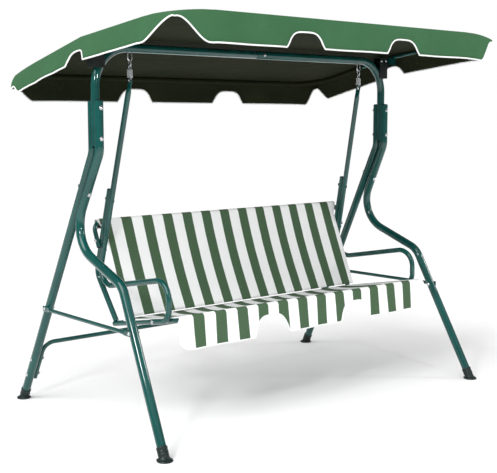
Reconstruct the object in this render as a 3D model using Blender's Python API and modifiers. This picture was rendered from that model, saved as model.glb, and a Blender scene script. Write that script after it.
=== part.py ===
"""Canopy swing bench: tube frame, sprung swinging seat and tilting canopy.

Metres, +Z up.  X runs along the bench, the front is towards -Y and the
origin lies on the ground below the middle of the crossbar.
"""

import math

import bmesh
import bpy
from mathutils import Matrix, Vector

# --- clearances and facets ---------------------------------------------------
GAP = 0.0003                    # between faces that touch on the real bench
WELD_GAP = 0.0005               # between a tube and what is welded to it
LEG_SIDES = 10
TUBE_SIDES = 8
WIRE_SIDES = 6
BOLT_SIDES = 8
ARC_STEP = math.radians(18)

# --- standing frame ----------------------------------------------------------
HALF_SPAN = 0.790               # from the middle to a leg's upright stretch
BAR_HEIGHT = 1.435
BAR_RADIUS = 0.0170
BAR_BEND = 0.145
TUBE_WALL = 0.0015
BAR_DROP = 0.368                # from the bar's centre down to its open ends
PLUG_LENGTH = 0.090             # the left half's end inside the right half
LEG_RADIUS = 0.0175
LEG_SPACE = 0.008               # between front and rear leg where they run together
LEG_TOP_DROP = 0.200            # leg tops below the bar
ELBOW_DROP = 0.392              # elbows below the bar
ELBOW_BEND = 0.070
REAR_FOOT_Y = 0.535
FRONT_FOOT_Y = -0.505
REAR_SPLAY = 0.038
FRONT_SPLAY = 0.066
CROTCH_HEIGHT = 0.703           # where the front leg leaves the rear leg
CROTCH_BEND = 0.134
KNEE_Y = -0.205
KNEE_HEIGHT = 0.568
KNEE_BEND = 0.090
LEG_BOLT_DROPS = (0.226, 0.340)  # upper leg bolts below the bar
SLOPE_BOLT_DROP = 0.546         # the bolt through both sloping legs
DIMPLE_FLOOR_DROP = 0.373

# --- feet, stretcher and side braces ----------------------------------------
CAP_FLOOR = 0.006
CAP_WALL = 0.0020
CAP_LENGTH = 0.055
FLANGE_RADIUS = 0.0285
FLANGE_HEIGHT = 0.022
STRETCHER_RADIUS = 0.009
STRETCHER_HEIGHT = 0.252
STRETCHER_END = 0.092
STRETCHER_BEND = 0.045
STRETCHER_BOLTS = (0.112, 0.182)
BRACE_HEIGHT = 0.410
BRACE_RADIUS = 0.00775
BRACE_FLAT = 0.0035
BRACE_FLAT_WIDTH = 0.023
BRACE_GAP = 0.0010

# --- canopy ------------------------------------------------------------------
CANOPY_OVERHANG = 0.0585        # cloth past the legs, without its flaps
CANOPY_FRONT = 0.571
CANOPY_REAR = 0.500
RIDGE_RISE = 0.031              # ridge above the bar's centre
FRONT_EDGE_RISE = 0.064
REAR_EDGE_FALL = 0.116
CORNER_DROOP = 0.010
SKIRT_DEPTH = 0.108
FLAP_DEPTH = 0.092
NOTCH_DEPTH = 0.052
SKIRT_NOTCHES = ((-0.262, 0.090), (0.272, 0.090))  # middles and half widths
FLAP_NOTCHES = ((0.0, 0.060),)
SKIRT_TAPER = 0.120             # over which a skirt rises to a corner
FLAP_TAPER = 0.100
CORNER_SHARE = 0.12             # of a skirt's depth left at a corner
SKIRT_LEAN = 0.06               # outward for each metre of a skirt's depth
FLAP_FLARE = 0.030
CLOTH = 0.0020
CANOPY_TUBE_RADIUS = 0.0075
CANOPY_TUBE_WALL = 0.0010
CANOPY_TUBE_BEND = 0.150
CANOPY_TUBE_INSET = 0.0145      # tube centre inside the cloth's edge
CANOPY_TUBE_DROP = 0.014
CANOPY_TUBE_START = 0.028
PLATE_THICKNESS = 0.004
PLATE_REACH = 0.030             # plate past the ends of the canopy's tubes
PLATE_HALF_HEIGHT = 0.015
BOSS_RADIUS = 0.011
BRACKET_WALL = 0.003
BRACKET_LENGTH = 0.052
BRACKET_LOW = 0.078
BRACKET_HIGH = 0.016
TILT_RISE = 0.001               # tilt axis above the bar's centre

# --- suspension --------------------------------------------------------------
HANG_INSET = 0.156              # springs inside the legs' upright stretches
EYE_WIRE = 0.0030
EYE_SPREAD = 0.009
EYE_LENGTH = 0.0295             # lowest wire centre of an eye below the bar's skin
LINK_WIRE = 0.0025
LINK_LENGTH = 0.028
LINK_WIDTH = 0.013
SPRING_WIRE = 0.0015
SPRING_RADIUS = 0.0095
SPRING_TURNS = 9
SPRING_PITCH = 0.0034
HOOK_RADIUS = 0.0058
HOOK_GAP = 0.0008
HOLE_RADIUS = 0.0050
HANGER_TIP = 0.011              # from the hanger's hole to its end

# --- swinging seat -----------------------------------------------------------
SEAT_TUBE = 0.011
SEAT_WALL = 0.0012
RAIL_INSET = 0.130              # seat rails inside the legs' upright stretches
RAIL_Z = 0.445                  # rail centre at RAIL_REF_Y
RAIL_REF_Y = -0.350
RAIL_SLOPE = 0.183
FRONT_BAR_Y = -0.348
FRONT_BAR_BEND = 0.055
REAR_BAR_Y = 0.050
HANGER_SPREAD = 0.042           # a hanger's corner further out than its spring
HANGER_CORNER_Y = 0.183
HANGER_CORNER_Z = 0.501
HANGER_BEND = 0.069
ARM_SLOPE = 0.182
ARM_FRONT_Y = -0.300
ARM_FRONT_BEND = 0.068
ARM_LOW_BEND = 0.045
ARM_END_Y = -0.192
ARM_BOLT_Y = -0.210
SIDE_GAP = 0.0015               # between an arm's end and its rail
FOOT_STANDOFF = 1.52            # side tube's end above its rail's centre, in radii
RAIL_TAIL = 3.5                 # rail past the rear bar, in radii
BACK_TOP_Z = 0.894              # top ends of the back's side tubes
BACK_CORNER_Z = 0.560
BACK_CORNER_BEND = 0.080
HANGER_BOLTS = (0.850, 0.655)
TOP_TUBE_RADIUS = 0.009
TOP_TUBE_Z = 0.760
TOP_TUBE_LEAN = 0.436
TOP_TUBE_END_Z = 0.665
TOP_BOLT_Z = 0.690
TOP_TUBE_BEND = 0.040
SEAT_CLOTH_OVERHANG = 0.008     # seat cloth past the rails' centres
VALANCE_OVERHANG = 0.025        # valance past the rails' centres
VALANCE_DEPTH = 0.108
VALANCE_NOTCH = 0.076
VALANCE_NOTCH_X = 0.235
VALANCE_NOTCH_HALF = 0.090
VALANCE_LEAN = 0.012            # hem ahead of the valance's top
SEAT_CLOTH_END = 0.030          # rear edge ahead of the rear bar
SEAT_SAG = 0.020
BACK_CLOTH_INSET = 0.015        # back cloth inside the rails' centres
BACK_FOOT_AHEAD = 0.019         # foot edge ahead of the rear bar
BACK_FOOT_RISE = 0.0152         # foot edge above the rear bar's skin
BACK_TOP_SPREAD = 0.027         # wider on each side at the top tube
BACK_SPREAD_START = 0.88        # share of the height where it widens
BACK_SLEEVE = 0.022             # cloth hanging behind the top tube
CLOTH_LIFT = 0.0030             # cloth's mid-surface clear of the tube below

# --- values that follow ------------------------------------------------------
LEG_PITCH = 2 * LEG_RADIUS + LEG_SPACE
CANOPY_HALF = HALF_SPAN + CANOPY_OVERHANG
HANG_X = HALF_SPAN - HANG_INSET
RAIL_X = HALF_SPAN - RAIL_INSET
HANGER_CORNER = (HANG_X + HANGER_SPREAD, HANGER_CORNER_Y, HANGER_CORNER_Z)
SEAT_CLOTH_HALF = RAIL_X + SEAT_CLOTH_OVERHANG
VALANCE_HALF = RAIL_X + VALANCE_OVERHANG
BACK_CLOTH_HALF = RAIL_X - BACK_CLOTH_INSET
LEG_TOP = BAR_HEIGHT - LEG_TOP_DROP
ELBOW = BAR_HEIGHT - ELBOW_DROP
HALF_PITCH = LEG_PITCH / 2
EYE_Z = BAR_HEIGHT - BAR_RADIUS - EYE_LENGTH
TILT_Z = BAR_HEIGHT + TILT_RISE
LINK_TOP = EYE_Z + EYE_WIRE + LINK_WIRE + GAP
LINK_BOTTOM = LINK_TOP - LINK_LENGTH
LOOP_TOP = LINK_BOTTOM + LINK_WIRE + SPRING_WIRE + GAP
COIL_TOP = LOOP_TOP - 2 * HOOK_RADIUS - 2.2 * SPRING_WIRE
COIL_BOTTOM = COIL_TOP - SPRING_TURNS * SPRING_PITCH
LOW_LOOP_TOP = COIL_BOTTOM - 2.2 * SPRING_WIRE
LOW_LOOP_BOTTOM = LOW_LOOP_TOP - 2 * HOOK_RADIUS
HOLE_Z = LOW_LOOP_BOTTOM + SPRING_WIRE + HOOK_GAP - HOLE_RADIUS
HANGER_SLOPE = HANGER_CORNER[1] / (HOLE_Z - HANGER_CORNER[2])
ARM_X = RAIL_X + 2 * SEAT_TUBE + SIDE_GAP
RAIL_END_Y = REAR_BAR_Y + RAIL_TAIL * SEAT_TUBE + SIDE_GAP
SIDE_OFFSET = (2 * SEAT_TUBE + WELD_GAP) * math.hypot(1, HANGER_SLOPE)
RIDGE_Z = BAR_HEIGHT + RIDGE_RISE
CLEAR_HOLE = 1 / math.cos(math.pi / BOLT_SIDES)

SIDES = {"left": -1, "right": 1}


# --- scene helpers -----------------------------------------------------------
def clear_scene():
    """Remove every object that the file starts with."""
    for thing in list(bpy.data.objects):
        bpy.data.objects.remove(thing)


def new_collection(name):
    """Return a new collection linked to the scene."""
    group = bpy.data.collections.new(name)
    bpy.context.scene.collection.children.link(group)
    return group


def make_material(name, colour, roughness, metallic):
    """Return a Principled material of one colour."""
    material = bpy.data.materials.new(name)
    material.use_nodes = True
    shader = material.node_tree.nodes["Principled BSDF"]
    shader.inputs["Base Color"].default_value = (*colour, 1.0)
    shader.inputs["Roughness"].default_value = roughness
    shader.inputs["Metallic"].default_value = metallic
    return material


FINISHES = {
    "paint": ((0.045, 0.200, 0.190), 0.25, 0.1),
    "zinc": ((0.62, 0.64, 0.66), 0.32, 1.0),
    "rubber": ((0.008, 0.024, 0.024), 0.70, 0.0),
    "canopy_cloth": ((0.050, 0.145, 0.070), 0.90, 0.0),
    "seat_cloth": ((0.80, 0.82, 0.80), 0.90, 0.0),
    "dark_plastic": ((0.012, 0.020, 0.018), 0.50, 0.0),
}

clear_scene()
BENCH = new_collection("canopy_swing_bench")
CUTTERS = new_collection("cutters")


def add_piece(name, mesh, finish, parent=None, smooth=True):
    """Link a mesh as one named piece of the bench, with its own material."""
    piece = bpy.data.objects.new(name, mesh)
    BENCH.objects.link(piece)
    mesh.materials.clear()
    mesh.materials.append(make_material(name, *FINISHES[finish]))
    if smooth:
        mesh.shade_smooth()
        mesh.set_sharp_from_angle(angle=math.radians(40))
    if parent is not None:
        piece.parent = parent
        piece.matrix_parent_inverse = parent.matrix_world.inverted()
    return piece


def add_cutter(name, mesh):
    """Link a mesh as a hidden cutter."""
    cutter = bpy.data.objects.new(name, mesh)
    CUTTERS.objects.link(cutter)
    cutter.hide_render = True
    cutter.display_type = "WIRE"
    return cutter


def add_axis(name, location):
    """Return an empty that stands on a joint's axis."""
    axis = bpy.data.objects.new(name, None)
    axis.empty_display_size = 0.05
    axis.location = location
    BENCH.objects.link(axis)
    bpy.context.view_layer.update()
    return axis


def combine(target, other, operation):
    """Add a Boolean of one object with another to the target."""
    modifier = target.modifiers.new(f"{operation.lower()}_{other.name}", "BOOLEAN")
    modifier.operation = operation
    modifier.solver = "EXACT"
    modifier.object = other


def cut(target, cutter):
    """Subtract a cutter from a piece or from another cutter."""
    combine(target, cutter, "DIFFERENCE")


# --- shape helpers -----------------------------------------------------------
def bent(corners, radii):
    """Return the points of a bent tube's centre line.

    Args:
        corners: the straight runs' corner points, ends included.
        radii: the bend radius at each inner corner.

    Returns:
        A list of vectors with each bend as an arc.
    """
    corners = [Vector(corner) for corner in corners]
    points = [corners[0]]
    for before, corner, after, radius in zip(corners, corners[1:], corners[2:], radii):
        back = (before - corner).normalized()
        ahead = (after - corner).normalized()
        turn = math.pi - back.angle(ahead)
        reach = radius * math.tan(turn / 2)
        centre = corner + (back + ahead).normalized() * (radius / math.cos(turn / 2))
        start = corner + back * reach - centre
        axis = back.cross(ahead).normalized()
        steps = max(2, math.ceil(turn / ARC_STEP))
        for step in range(steps + 1):
            spin = Matrix.Rotation(-turn * step / steps, 3, axis)
            points.append(centre + spin @ start)
    points.append(corners[-1])
    return points


def mirrored(points):
    """Return the points reflected to the other end of the bench, last first."""
    return [Vector((-point[0], point[1], point[2])) for point in reversed(points)]


def reach_along(points, start, end):
    """Return the points with both ends moved out (or in, when negative)."""
    moved = [Vector(point) for point in points]
    moved[0] += (moved[0] - moved[1]).normalized() * start
    moved[-1] += (moved[-1] - moved[-2]).normalized() * end
    return moved


def swept_mesh(name, points, radius, sides, scales=None, closed=False):
    """Return the mesh of a round section swept along points, with welded caps."""
    curve = bpy.data.curves.new(name, "CURVE")
    curve.dimensions = "3D"
    curve.bevel_depth = radius
    curve.bevel_resolution = (sides - 4) // 2
    curve.use_fill_caps = not closed
    spline = curve.splines.new("POLY")
    spline.points.add(len(points) - 1)
    spline.use_cyclic_u = closed
    for index, point in enumerate(points):
        spline.points[index].co = (*point, 1.0)
        if scales:
            spline.points[index].radius = scales[index]
    guide = bpy.data.objects.new(f"{name}_guide", curve)
    bpy.context.scene.collection.objects.link(guide)
    bpy.context.view_layer.update()
    evaluated = guide.evaluated_get(bpy.context.evaluated_depsgraph_get())
    mesh = bpy.data.meshes.new_from_object(evaluated)
    mesh.name = name
    bpy.data.objects.remove(guide)
    shape = bmesh.new()
    shape.from_mesh(mesh)
    bmesh.ops.remove_doubles(shape, verts=shape.verts, dist=0.00001)
    bmesh.ops.recalc_face_normals(shape, faces=shape.faces)
    shape.to_mesh(mesh)
    shape.free()
    return mesh


def hollow(piece, points, radius, sides, solid_start=0.0, solid_end=0.0):
    """Bore a swept piece along its own centre line.

    Args:
        piece: the solid swept piece.
        points: its centre line.
        radius: the bore's radius.
        sides: the number of flats round the bore.
        solid_start: length left solid at the first end, or 0 for an open end.
        solid_end: the same at the last end.

    Returns:
        The bore's cutter, which can itself be cut.
    """
    over = 0.006
    start = -solid_start if solid_start else over
    end = -solid_end if solid_end else over
    bore_points = reach_along(points, start, end)
    bore = add_cutter(f"{piece.name}_bore", swept_mesh("bore", bore_points, radius, sides))
    cut(piece, bore)
    return bore


def flatten(mesh, centre, along, reach, thin_axis, thin, wide):
    """Press a swept end flat.

    Args:
        mesh: the mesh to change.
        centre: a point of the centre line in the middle of the flat.
        along: the centre line's direction there.
        reach: how far the flat goes each way from the centre.
        thin_axis: the direction in which the section gets thin.
        thin: the thin direction's scale.
        wide: the other direction's scale.
    """
    along = Vector(along).normalized()
    thin_axis = Vector(thin_axis).normalized()
    wide_axis = along.cross(thin_axis).normalized()
    for vertex in mesh.vertices:
        offset = vertex.co - Vector(centre)
        if abs(offset.dot(along)) > reach or offset.length > reach + 0.03:
            continue
        shift = thin_axis * offset.dot(thin_axis) * (thin - 1)
        shift += wide_axis * offset.dot(wide_axis) * (wide - 1)
        vertex.co += shift


def rod_mesh(name, start, end, radius, sides):
    """Return a capped cylinder between two points."""
    start, end = Vector(start), Vector(end)
    direction = end - start
    shape = bmesh.new()
    bmesh.ops.create_cone(
        shape, cap_ends=True, segments=sides, radius1=radius, radius2=radius, depth=direction.length
    )
    turn = Vector((0, 0, 1)).rotation_difference(direction).to_matrix().to_4x4()
    place = Matrix.Translation((start + end) / 2) @ turn
    bmesh.ops.transform(shape, matrix=place, verts=shape.verts)
    mesh = bpy.data.meshes.new(name)
    shape.to_mesh(mesh)
    shape.free()
    return mesh


def block_mesh(name, low, high):
    """Return a box between two corners."""
    low, high = Vector(low), Vector(high)
    shape = bmesh.new()
    bmesh.ops.create_cube(shape, size=1.0)
    size = high - low
    place = Matrix.Translation((low + high) / 2) @ Matrix.Diagonal((*size, 1.0))
    bmesh.ops.transform(shape, matrix=place, verts=shape.verts)
    mesh = bpy.data.meshes.new(name)
    shape.to_mesh(mesh)
    shape.free()
    return mesh


def bolt(name, seat, direction, grip, radius=0.003, parent=None, cuts=()):
    """Add a domed bolt with its nut, and drill its hole through some pieces.

    Args:
        name: the node's name.
        seat: the point of the clamped stack under the bolt's head.
        direction: from the head into the stack.
        grip: the stack's thickness.
        radius: the shank's radius.
        parent: the empty that the bolt moves with.
        cuts: the pieces that the bolt passes through.
    """
    direction = Vector(direction).normalized()
    head = 2.1 * radius
    top = 1.3 * radius
    nut = 1.9 * radius
    outline = [
        (0.0, top),
        (0.6 * head, 0.9 * top),
        (head, GAP),
        (radius, GAP),
        (radius, -grip - GAP),
        (nut, -grip - GAP),
        (nut, -grip - 1.8 * radius),
        (0.0, -grip - 1.8 * radius),
    ]
    mesh = bpy.data.meshes.new(name)
    edges = [(index, index + 1) for index in range(len(outline) - 1)]
    mesh.from_pydata([(r, 0.0, z) for r, z in outline], edges, [])
    piece = add_piece(name, mesh, "zinc", smooth=False)
    turned = piece.modifiers.new("turned", "SCREW")
    turned.steps = BOLT_SIDES
    turned.render_steps = BOLT_SIDES
    turned.use_merge_vertices = True
    turned.merge_threshold = 0.00001
    turn = Vector((0, 0, 1)).rotation_difference(-direction)
    piece.rotation_mode = "QUATERNION"
    piece.rotation_quaternion = turn
    piece.location = seat
    if parent is not None:
        piece.parent = parent
        piece.matrix_parent_inverse = parent.matrix_world.inverted()
    if cuts:
        far = Vector(seat) + direction * (grip + 0.004)
        near = Vector(seat) - direction * 0.004
        drill = rod_mesh("drill", near, far, radius * CLEAR_HOLE + 2 * GAP, BOLT_SIDES)
        cutter = add_cutter(f"{name}_drill", drill)
        for target in cuts:
            cut(target, cutter)
            target.modifiers.move(len(target.modifiers) - 1, 0)
    return piece


# --- leg centre lines --------------------------------------------------------
LEG_SLOPE = (REAR_FOOT_Y - HALF_PITCH) / ELBOW


def leg_x(height, splay):
    """Return how far out a leg's centre line is at a height below its elbow."""
    return HALF_SPAN + splay * (ELBOW - height) / ELBOW


def rear_leg_at(height, side):
    """Return the rear leg's centre at a height below its elbow."""
    return Vector((side * leg_x(height, REAR_SPLAY), HALF_PITCH + LEG_SLOPE * (ELBOW - height), height))


def front_slope_at(height, side):
    """Return the front leg's centre where it runs along the rear leg."""
    return Vector((side * leg_x(height, FRONT_SPLAY), -HALF_PITCH + LEG_SLOPE * (ELBOW - height), height))


def front_leg_at(height, side):
    """Return the front leg's centre between its knee and its foot."""
    fall = (KNEE_HEIGHT - height) / KNEE_HEIGHT
    return Vector((side * leg_x(height, FRONT_SPLAY), KNEE_Y + (FRONT_FOOT_Y - KNEE_Y) * fall, height))


def leg_end_height():
    """Return the height at which a leg's tube stops inside its cap."""
    return CAP_FLOOR + 0.5 * LEG_RADIUS


def add_leg(name, corners, radii, side):
    """Add one hollow leg whose upright stretch is dimpled round the crossbar."""
    points = bent(corners, radii)
    leg = add_piece(name, swept_mesh(name, points, LEG_RADIUS, LEG_SIDES), "paint")
    top = Vector((side * HALF_SPAN, 0.0, LEG_TOP + 0.05))
    floor = Vector((side * HALF_SPAN, 0.0, BAR_HEIGHT - DIMPLE_FLOOR_DROP))
    inner_top = top + Vector((0, 0, 0.01))
    inner_floor = floor - Vector((0, 0, TUBE_WALL))
    press = rod_mesh("press", floor, top, BAR_RADIUS + GAP, 20)
    inner_press = rod_mesh("inner_press", inner_floor, inner_top, BAR_RADIUS + GAP + TUBE_WALL, 20)
    cut(leg, add_cutter(f"{name}_dimple", press))
    bore_points = reach_along(points, 0.006, 0.006)
    bore_mesh = swept_mesh("bore", bore_points, LEG_RADIUS - TUBE_WALL, LEG_SIDES)
    bore = add_cutter(f"{name}_bore", bore_mesh)
    cut(bore, add_cutter(f"{name}_inner_dimple", inner_press))
    cut(leg, bore)
    return leg


def add_legs(side_name, side):
    """Add the rear and front leg of one side."""
    end = leg_end_height()
    rear = add_leg(
        f"rear_leg_{side_name}",
        [(side * HALF_SPAN, HALF_PITCH, LEG_TOP), (side * HALF_SPAN, HALF_PITCH, ELBOW), rear_leg_at(end, side)],
        [ELBOW_BEND],
        side,
    )
    front = add_leg(
        f"front_leg_{side_name}",
        [
            (side * HALF_SPAN, -HALF_PITCH, LEG_TOP),
            (side * HALF_SPAN, -HALF_PITCH, ELBOW),
            front_slope_at(CROTCH_HEIGHT, side),
            front_leg_at(KNEE_HEIGHT, side),
            front_leg_at(end, side),
        ],
        [ELBOW_BEND, CROTCH_BEND, KNEE_BEND],
        side,
    )
    return front, rear


def add_foot_cap(name, foot, up):
    """Add a rubber cap: a sleeve along the leg on a flat round flange."""
    up = Vector(up).normalized()
    start = foot - up * 0.03
    flange = bmesh.new()
    bmesh.ops.create_cone(
        flange,
        cap_ends=True,
        segments=LEG_SIDES * 2,
        radius1=FLANGE_RADIUS,
        radius2=LEG_RADIUS + CAP_WALL + 0.002,
        depth=FLANGE_HEIGHT,
    )
    centre = Vector((foot.x, foot.y, FLANGE_HEIGHT / 2))
    bmesh.ops.translate(flange, vec=centre, verts=flange.verts)
    mesh = bpy.data.meshes.new(name)
    flange.to_mesh(mesh)
    flange.free()
    cap = add_piece(name, mesh, "rubber")
    outer = rod_mesh("sleeve", start, foot + up * CAP_LENGTH, LEG_RADIUS + CAP_WALL, LEG_SIDES + 4)
    combine(cap, add_cutter(f"{name}_sleeve", outer), "UNION")
    rim = foot + up * (CAP_LENGTH + 0.02)
    floor = foot + up * ((leg_end_height() - GAP) / up.z)
    well = rod_mesh("well", floor, rim, (LEG_RADIUS + GAP) * 1.012, LEG_SIDES + 4)
    cut(cap, add_cutter(f"{name}_well", well))
    low = foot - Vector((0.1, 0.1, 0.1))
    high = foot + Vector((0.1, 0.1, 0.0))
    cut(cap, add_cutter(f"{name}_ground", block_mesh("ground", low, high)))


def add_crossbar():
    """Add the bar's two halves, the left one plugged into the right one."""
    upright = BAR_HEIGHT - BAR_DROP
    left_points = bent([(-HALF_SPAN, 0, upright), (-HALF_SPAN, 0, BAR_HEIGHT), (0, 0, BAR_HEIGHT)], [BAR_BEND])
    right_points = mirrored(left_points)
    right_points[0].x += WELD_GAP
    plug = (BAR_RADIUS - TUBE_WALL) * math.cos(math.pi / LEG_SIDES) - GAP
    ratio = plug / BAR_RADIUS
    plug_points = left_points[:-1] + [Vector((x, 0, BAR_HEIGHT)) for x in (-0.012, -0.002, PLUG_LENGTH)]
    scales = [1.0] * (len(plug_points) - 2) + [ratio, ratio]
    left_mesh = swept_mesh("crossbar_left", plug_points, BAR_RADIUS, LEG_SIDES, scales)
    left = add_piece("crossbar_left", left_mesh, "paint")
    bore_points = reach_along(plug_points, 0.006, 0.006)
    inner = BAR_RADIUS - TUBE_WALL
    tip = (plug - TUBE_WALL) / inner
    bore_scales = [1.0] * (len(plug_points) - 3) + [tip, tip, tip]
    bore = swept_mesh("bore", bore_points, inner, LEG_SIDES, bore_scales)
    cut(left, add_cutter("crossbar_left_bore", bore))
    right = add_piece("crossbar_right", swept_mesh("crossbar_right", right_points, BAR_RADIUS, LEG_SIDES), "paint")
    hollow(right, right_points, inner, LEG_SIDES)
    seat = (0.45 * PLUG_LENGTH, -BAR_RADIUS, BAR_HEIGHT)
    bolt("crossbar_bolt", seat, (0, 1, 0), 2 * BAR_RADIUS, cuts=(left, right))
    return {"left": left, "right": right}


def add_leg_bolts(side_name, side, front, rear, bar):
    """Add the three bolts that hold one pair of legs."""
    half = HALF_PITCH + LEG_RADIUS
    for number, drop in enumerate(LEG_BOLT_DROPS, 1):
        seat = (side * HALF_SPAN, -half, BAR_HEIGHT - drop)
        bolt(f"leg_bolt_{side_name}_{number}", seat, (0, 1, 0), 2 * half, 0.0035, cuts=(front, bar, rear))
    height = BAR_HEIGHT - SLOPE_BOLT_DROP
    first = front_slope_at(height, side)
    across = Vector((0.0, 1.0, LEG_SLOPE)).normalized()
    pitch = LEG_PITCH / math.hypot(1, LEG_SLOPE)
    middle = first + across * pitch / 2
    middle.x = (first.x + rear_leg_at(height, side).x) / 2
    grip = pitch + 2 * LEG_RADIUS
    bolt(f"leg_bolt_{side_name}_3", middle - across * grip / 2, across, grip, 0.0035, cuts=(front, rear))


def add_stretcher(rears):
    """Add the low bar between the rear legs with its four bolts."""
    inset = Vector((-LEG_RADIUS - STRETCHER_RADIUS - WELD_GAP, 0, 0))
    end = rear_leg_at(STRETCHER_END, 1) + inset
    corner = rear_leg_at(STRETCHER_HEIGHT, 1) + inset
    corners = [end, corner, *mirrored([end, corner])]
    points = bent(corners, [STRETCHER_BEND] * 2)
    stretcher = add_piece("rear_stretcher", swept_mesh("stretcher", points, STRETCHER_RADIUS, TUBE_SIDES), "paint")
    hollow(stretcher, points, STRETCHER_RADIUS - TUBE_WALL, TUBE_SIDES)
    grip = 2 * LEG_RADIUS + 2 * STRETCHER_RADIUS + WELD_GAP
    for side_name, side in SIDES.items():
        for number, height in enumerate(STRETCHER_BOLTS, 1):
            seat = rear_leg_at(height, side) + Vector((side * LEG_RADIUS, 0, 0))
            name = f"stretcher_bolt_{side_name}_{number}"
            bolt(name, seat, (-side, 0, 0), grip, cuts=(rears[side_name], stretcher))


def add_side_brace(side_name, side, front, rear):
    """Add one brace between the front and the rear leg, with its two bolts."""
    out = Vector((side * (LEG_RADIUS + BRACE_GAP + BRACE_FLAT / 2), 0, 0))
    ends = [rear_leg_at(BRACE_HEIGHT, side), front_leg_at(BRACE_HEIGHT, side)]
    start, stop = (point + out for point in ends)
    along = (stop - start).normalized()
    flat, shoulder, tip = 0.028, 0.048, 0.013
    stations = [-tip, flat, shoulder]
    points = [start + along * station for station in stations]
    points += [stop - along * station for station in reversed(stations)]
    name = f"side_brace_{side_name}"
    mesh = swept_mesh(name, points, BRACE_RADIUS, TUBE_SIDES + 2)
    thin = BRACE_FLAT / (2 * BRACE_RADIUS)
    wide = BRACE_FLAT_WIDTH / (2 * BRACE_RADIUS)
    for centre in (start, stop):
        flatten(mesh, centre, along, (flat + shoulder) / 2, (1, 0, 0), thin, wide)
    brace = add_piece(name, mesh, "paint")
    grip = 2 * LEG_RADIUS + BRACE_FLAT + BRACE_GAP
    for place, centre, leg in (("rear", start, rear), ("front", stop, front)):
        seat = centre + Vector((side * (BRACE_FLAT / 2 + GAP), 0, 0))
        bolt(f"brace_bolt_{side_name}_{place}", seat, (-side, 0, 0), grip + GAP, cuts=(brace, leg))


# --- canopy ------------------------------------------------------------------
def roof_height(x, y):
    """Return the height of the canopy cloth's mid-surface."""
    if y < 0:
        height = RIDGE_Z + FRONT_EDGE_RISE * (-y / CANOPY_FRONT)
        reach = CANOPY_FRONT
    else:
        height = RIDGE_Z - REAR_EDGE_FALL * (y / CANOPY_REAR)
        reach = CANOPY_REAR
    past_x = abs(x) - (CANOPY_HALF - CANOPY_TUBE_INSET - CANOPY_TUBE_BEND)
    past_y = abs(y) - (reach - CANOPY_TUBE_INSET - CANOPY_TUBE_BEND)
    if past_x > 0 and past_y > 0:
        corner = CANOPY_TUBE_INSET + CANOPY_TUBE_BEND
        most = corner * math.sqrt(2) - CANOPY_TUBE_BEND
        over = max(0.0, math.hypot(past_x, past_y) - CANOPY_TUBE_BEND)
        height -= CORNER_DROOP * (over / most) ** 1.5
    return height


def skirt_depth(place, half, full, notches, corner):
    """Return how far a skirt hangs at a place along its edge.

    Args:
        place: the distance along the edge from its middle.
        half: the edge's half length.
        full: the depth between notches.
        notches: the notches' middles and half widths.
        corner: the length over which the skirt tapers away at a corner.
    """
    depth = full
    for middle, width in notches:
        inside = max(0.0, 1 - (abs(place - middle) / width) ** 4)
        depth -= (full - NOTCH_DEPTH) * inside
    left = max(0.0, half - abs(place))
    if left < corner:
        share = left / corner
        depth *= CORNER_SHARE + (1 - CORNER_SHARE) * share * share * (3 - 2 * share)
    return depth


def add_canopy_cloth(parent):
    """Add the canopy's one-piece cloth: a gabled roof with a scalloped skirt."""
    shape = bmesh.new()
    columns, rows = 28, 10
    bmesh.ops.create_grid(shape, x_segments=columns, y_segments=rows, size=1.0)
    for vertex in shape.verts:
        x = vertex.co.x * CANOPY_HALF
        y = vertex.co.y * (CANOPY_FRONT if vertex.co.y < 0 else CANOPY_REAR)
        vertex.co = (x, y, roof_height(x, y))
    rim = [edge for edge in shape.edges if edge.is_boundary]
    skirt = bmesh.ops.extrude_edge_only(shape, edges=rim)["geom"]
    for vertex in (item for item in skirt if isinstance(item, bmesh.types.BMVert)):
        x, y, _ = vertex.co
        at_end = abs(x) > CANOPY_HALF - 0.001
        at_front = y < -CANOPY_FRONT + 0.001
        at_rear = y > CANOPY_REAR - 0.001
        if at_front or at_rear:
            depth = skirt_depth(x, CANOPY_HALF, SKIRT_DEPTH, SKIRT_NOTCHES, SKIRT_TAPER)
        else:
            half = CANOPY_FRONT if y < 0 else CANOPY_REAR
            depth = skirt_depth(y, half, FLAP_DEPTH, FLAP_NOTCHES, FLAP_TAPER)
        vertex.co.z -= depth
        if at_end:
            vertex.co.x += math.copysign(FLAP_FLARE * depth / FLAP_DEPTH, x)
        if at_front:
            vertex.co.y -= SKIRT_LEAN * depth
        if at_rear:
            vertex.co.y += SKIRT_LEAN * depth
    bmesh.ops.recalc_face_normals(shape, faces=shape.faces)
    mesh = bpy.data.meshes.new("canopy_cloth")
    shape.to_mesh(mesh)
    shape.free()
    cloth = add_piece("canopy_cloth", mesh, "canopy_cloth", parent)
    skin = cloth.modifiers.new("skin", "SOLIDIFY")
    skin.thickness = CLOTH
    skin.offset = 0.0


def canopy_tube_height(y):
    """Return the height of a canopy tube's centre under the cloth."""
    return roof_height(0.0, y) - CANOPY_TUBE_DROP


def add_canopy_tube(name, reach, direction, parent):
    """Add one of the two U tubes that spread the cloth."""
    x = CANOPY_HALF - CANOPY_TUBE_INSET
    start = direction * CANOPY_TUBE_START
    edge = direction * (reach - CANOPY_TUBE_INSET)
    end = (x, start, canopy_tube_height(start))
    corner = (x, edge, canopy_tube_height(edge))
    points = bent([end, corner, *mirrored([end, corner])], [CANOPY_TUBE_BEND] * 2)
    tube = add_piece(name, swept_mesh(name, points, CANOPY_TUBE_RADIUS, TUBE_SIDES), "paint", parent)
    hollow(tube, points, CANOPY_TUBE_RADIUS - CANOPY_TUBE_WALL, TUBE_SIDES)


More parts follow.
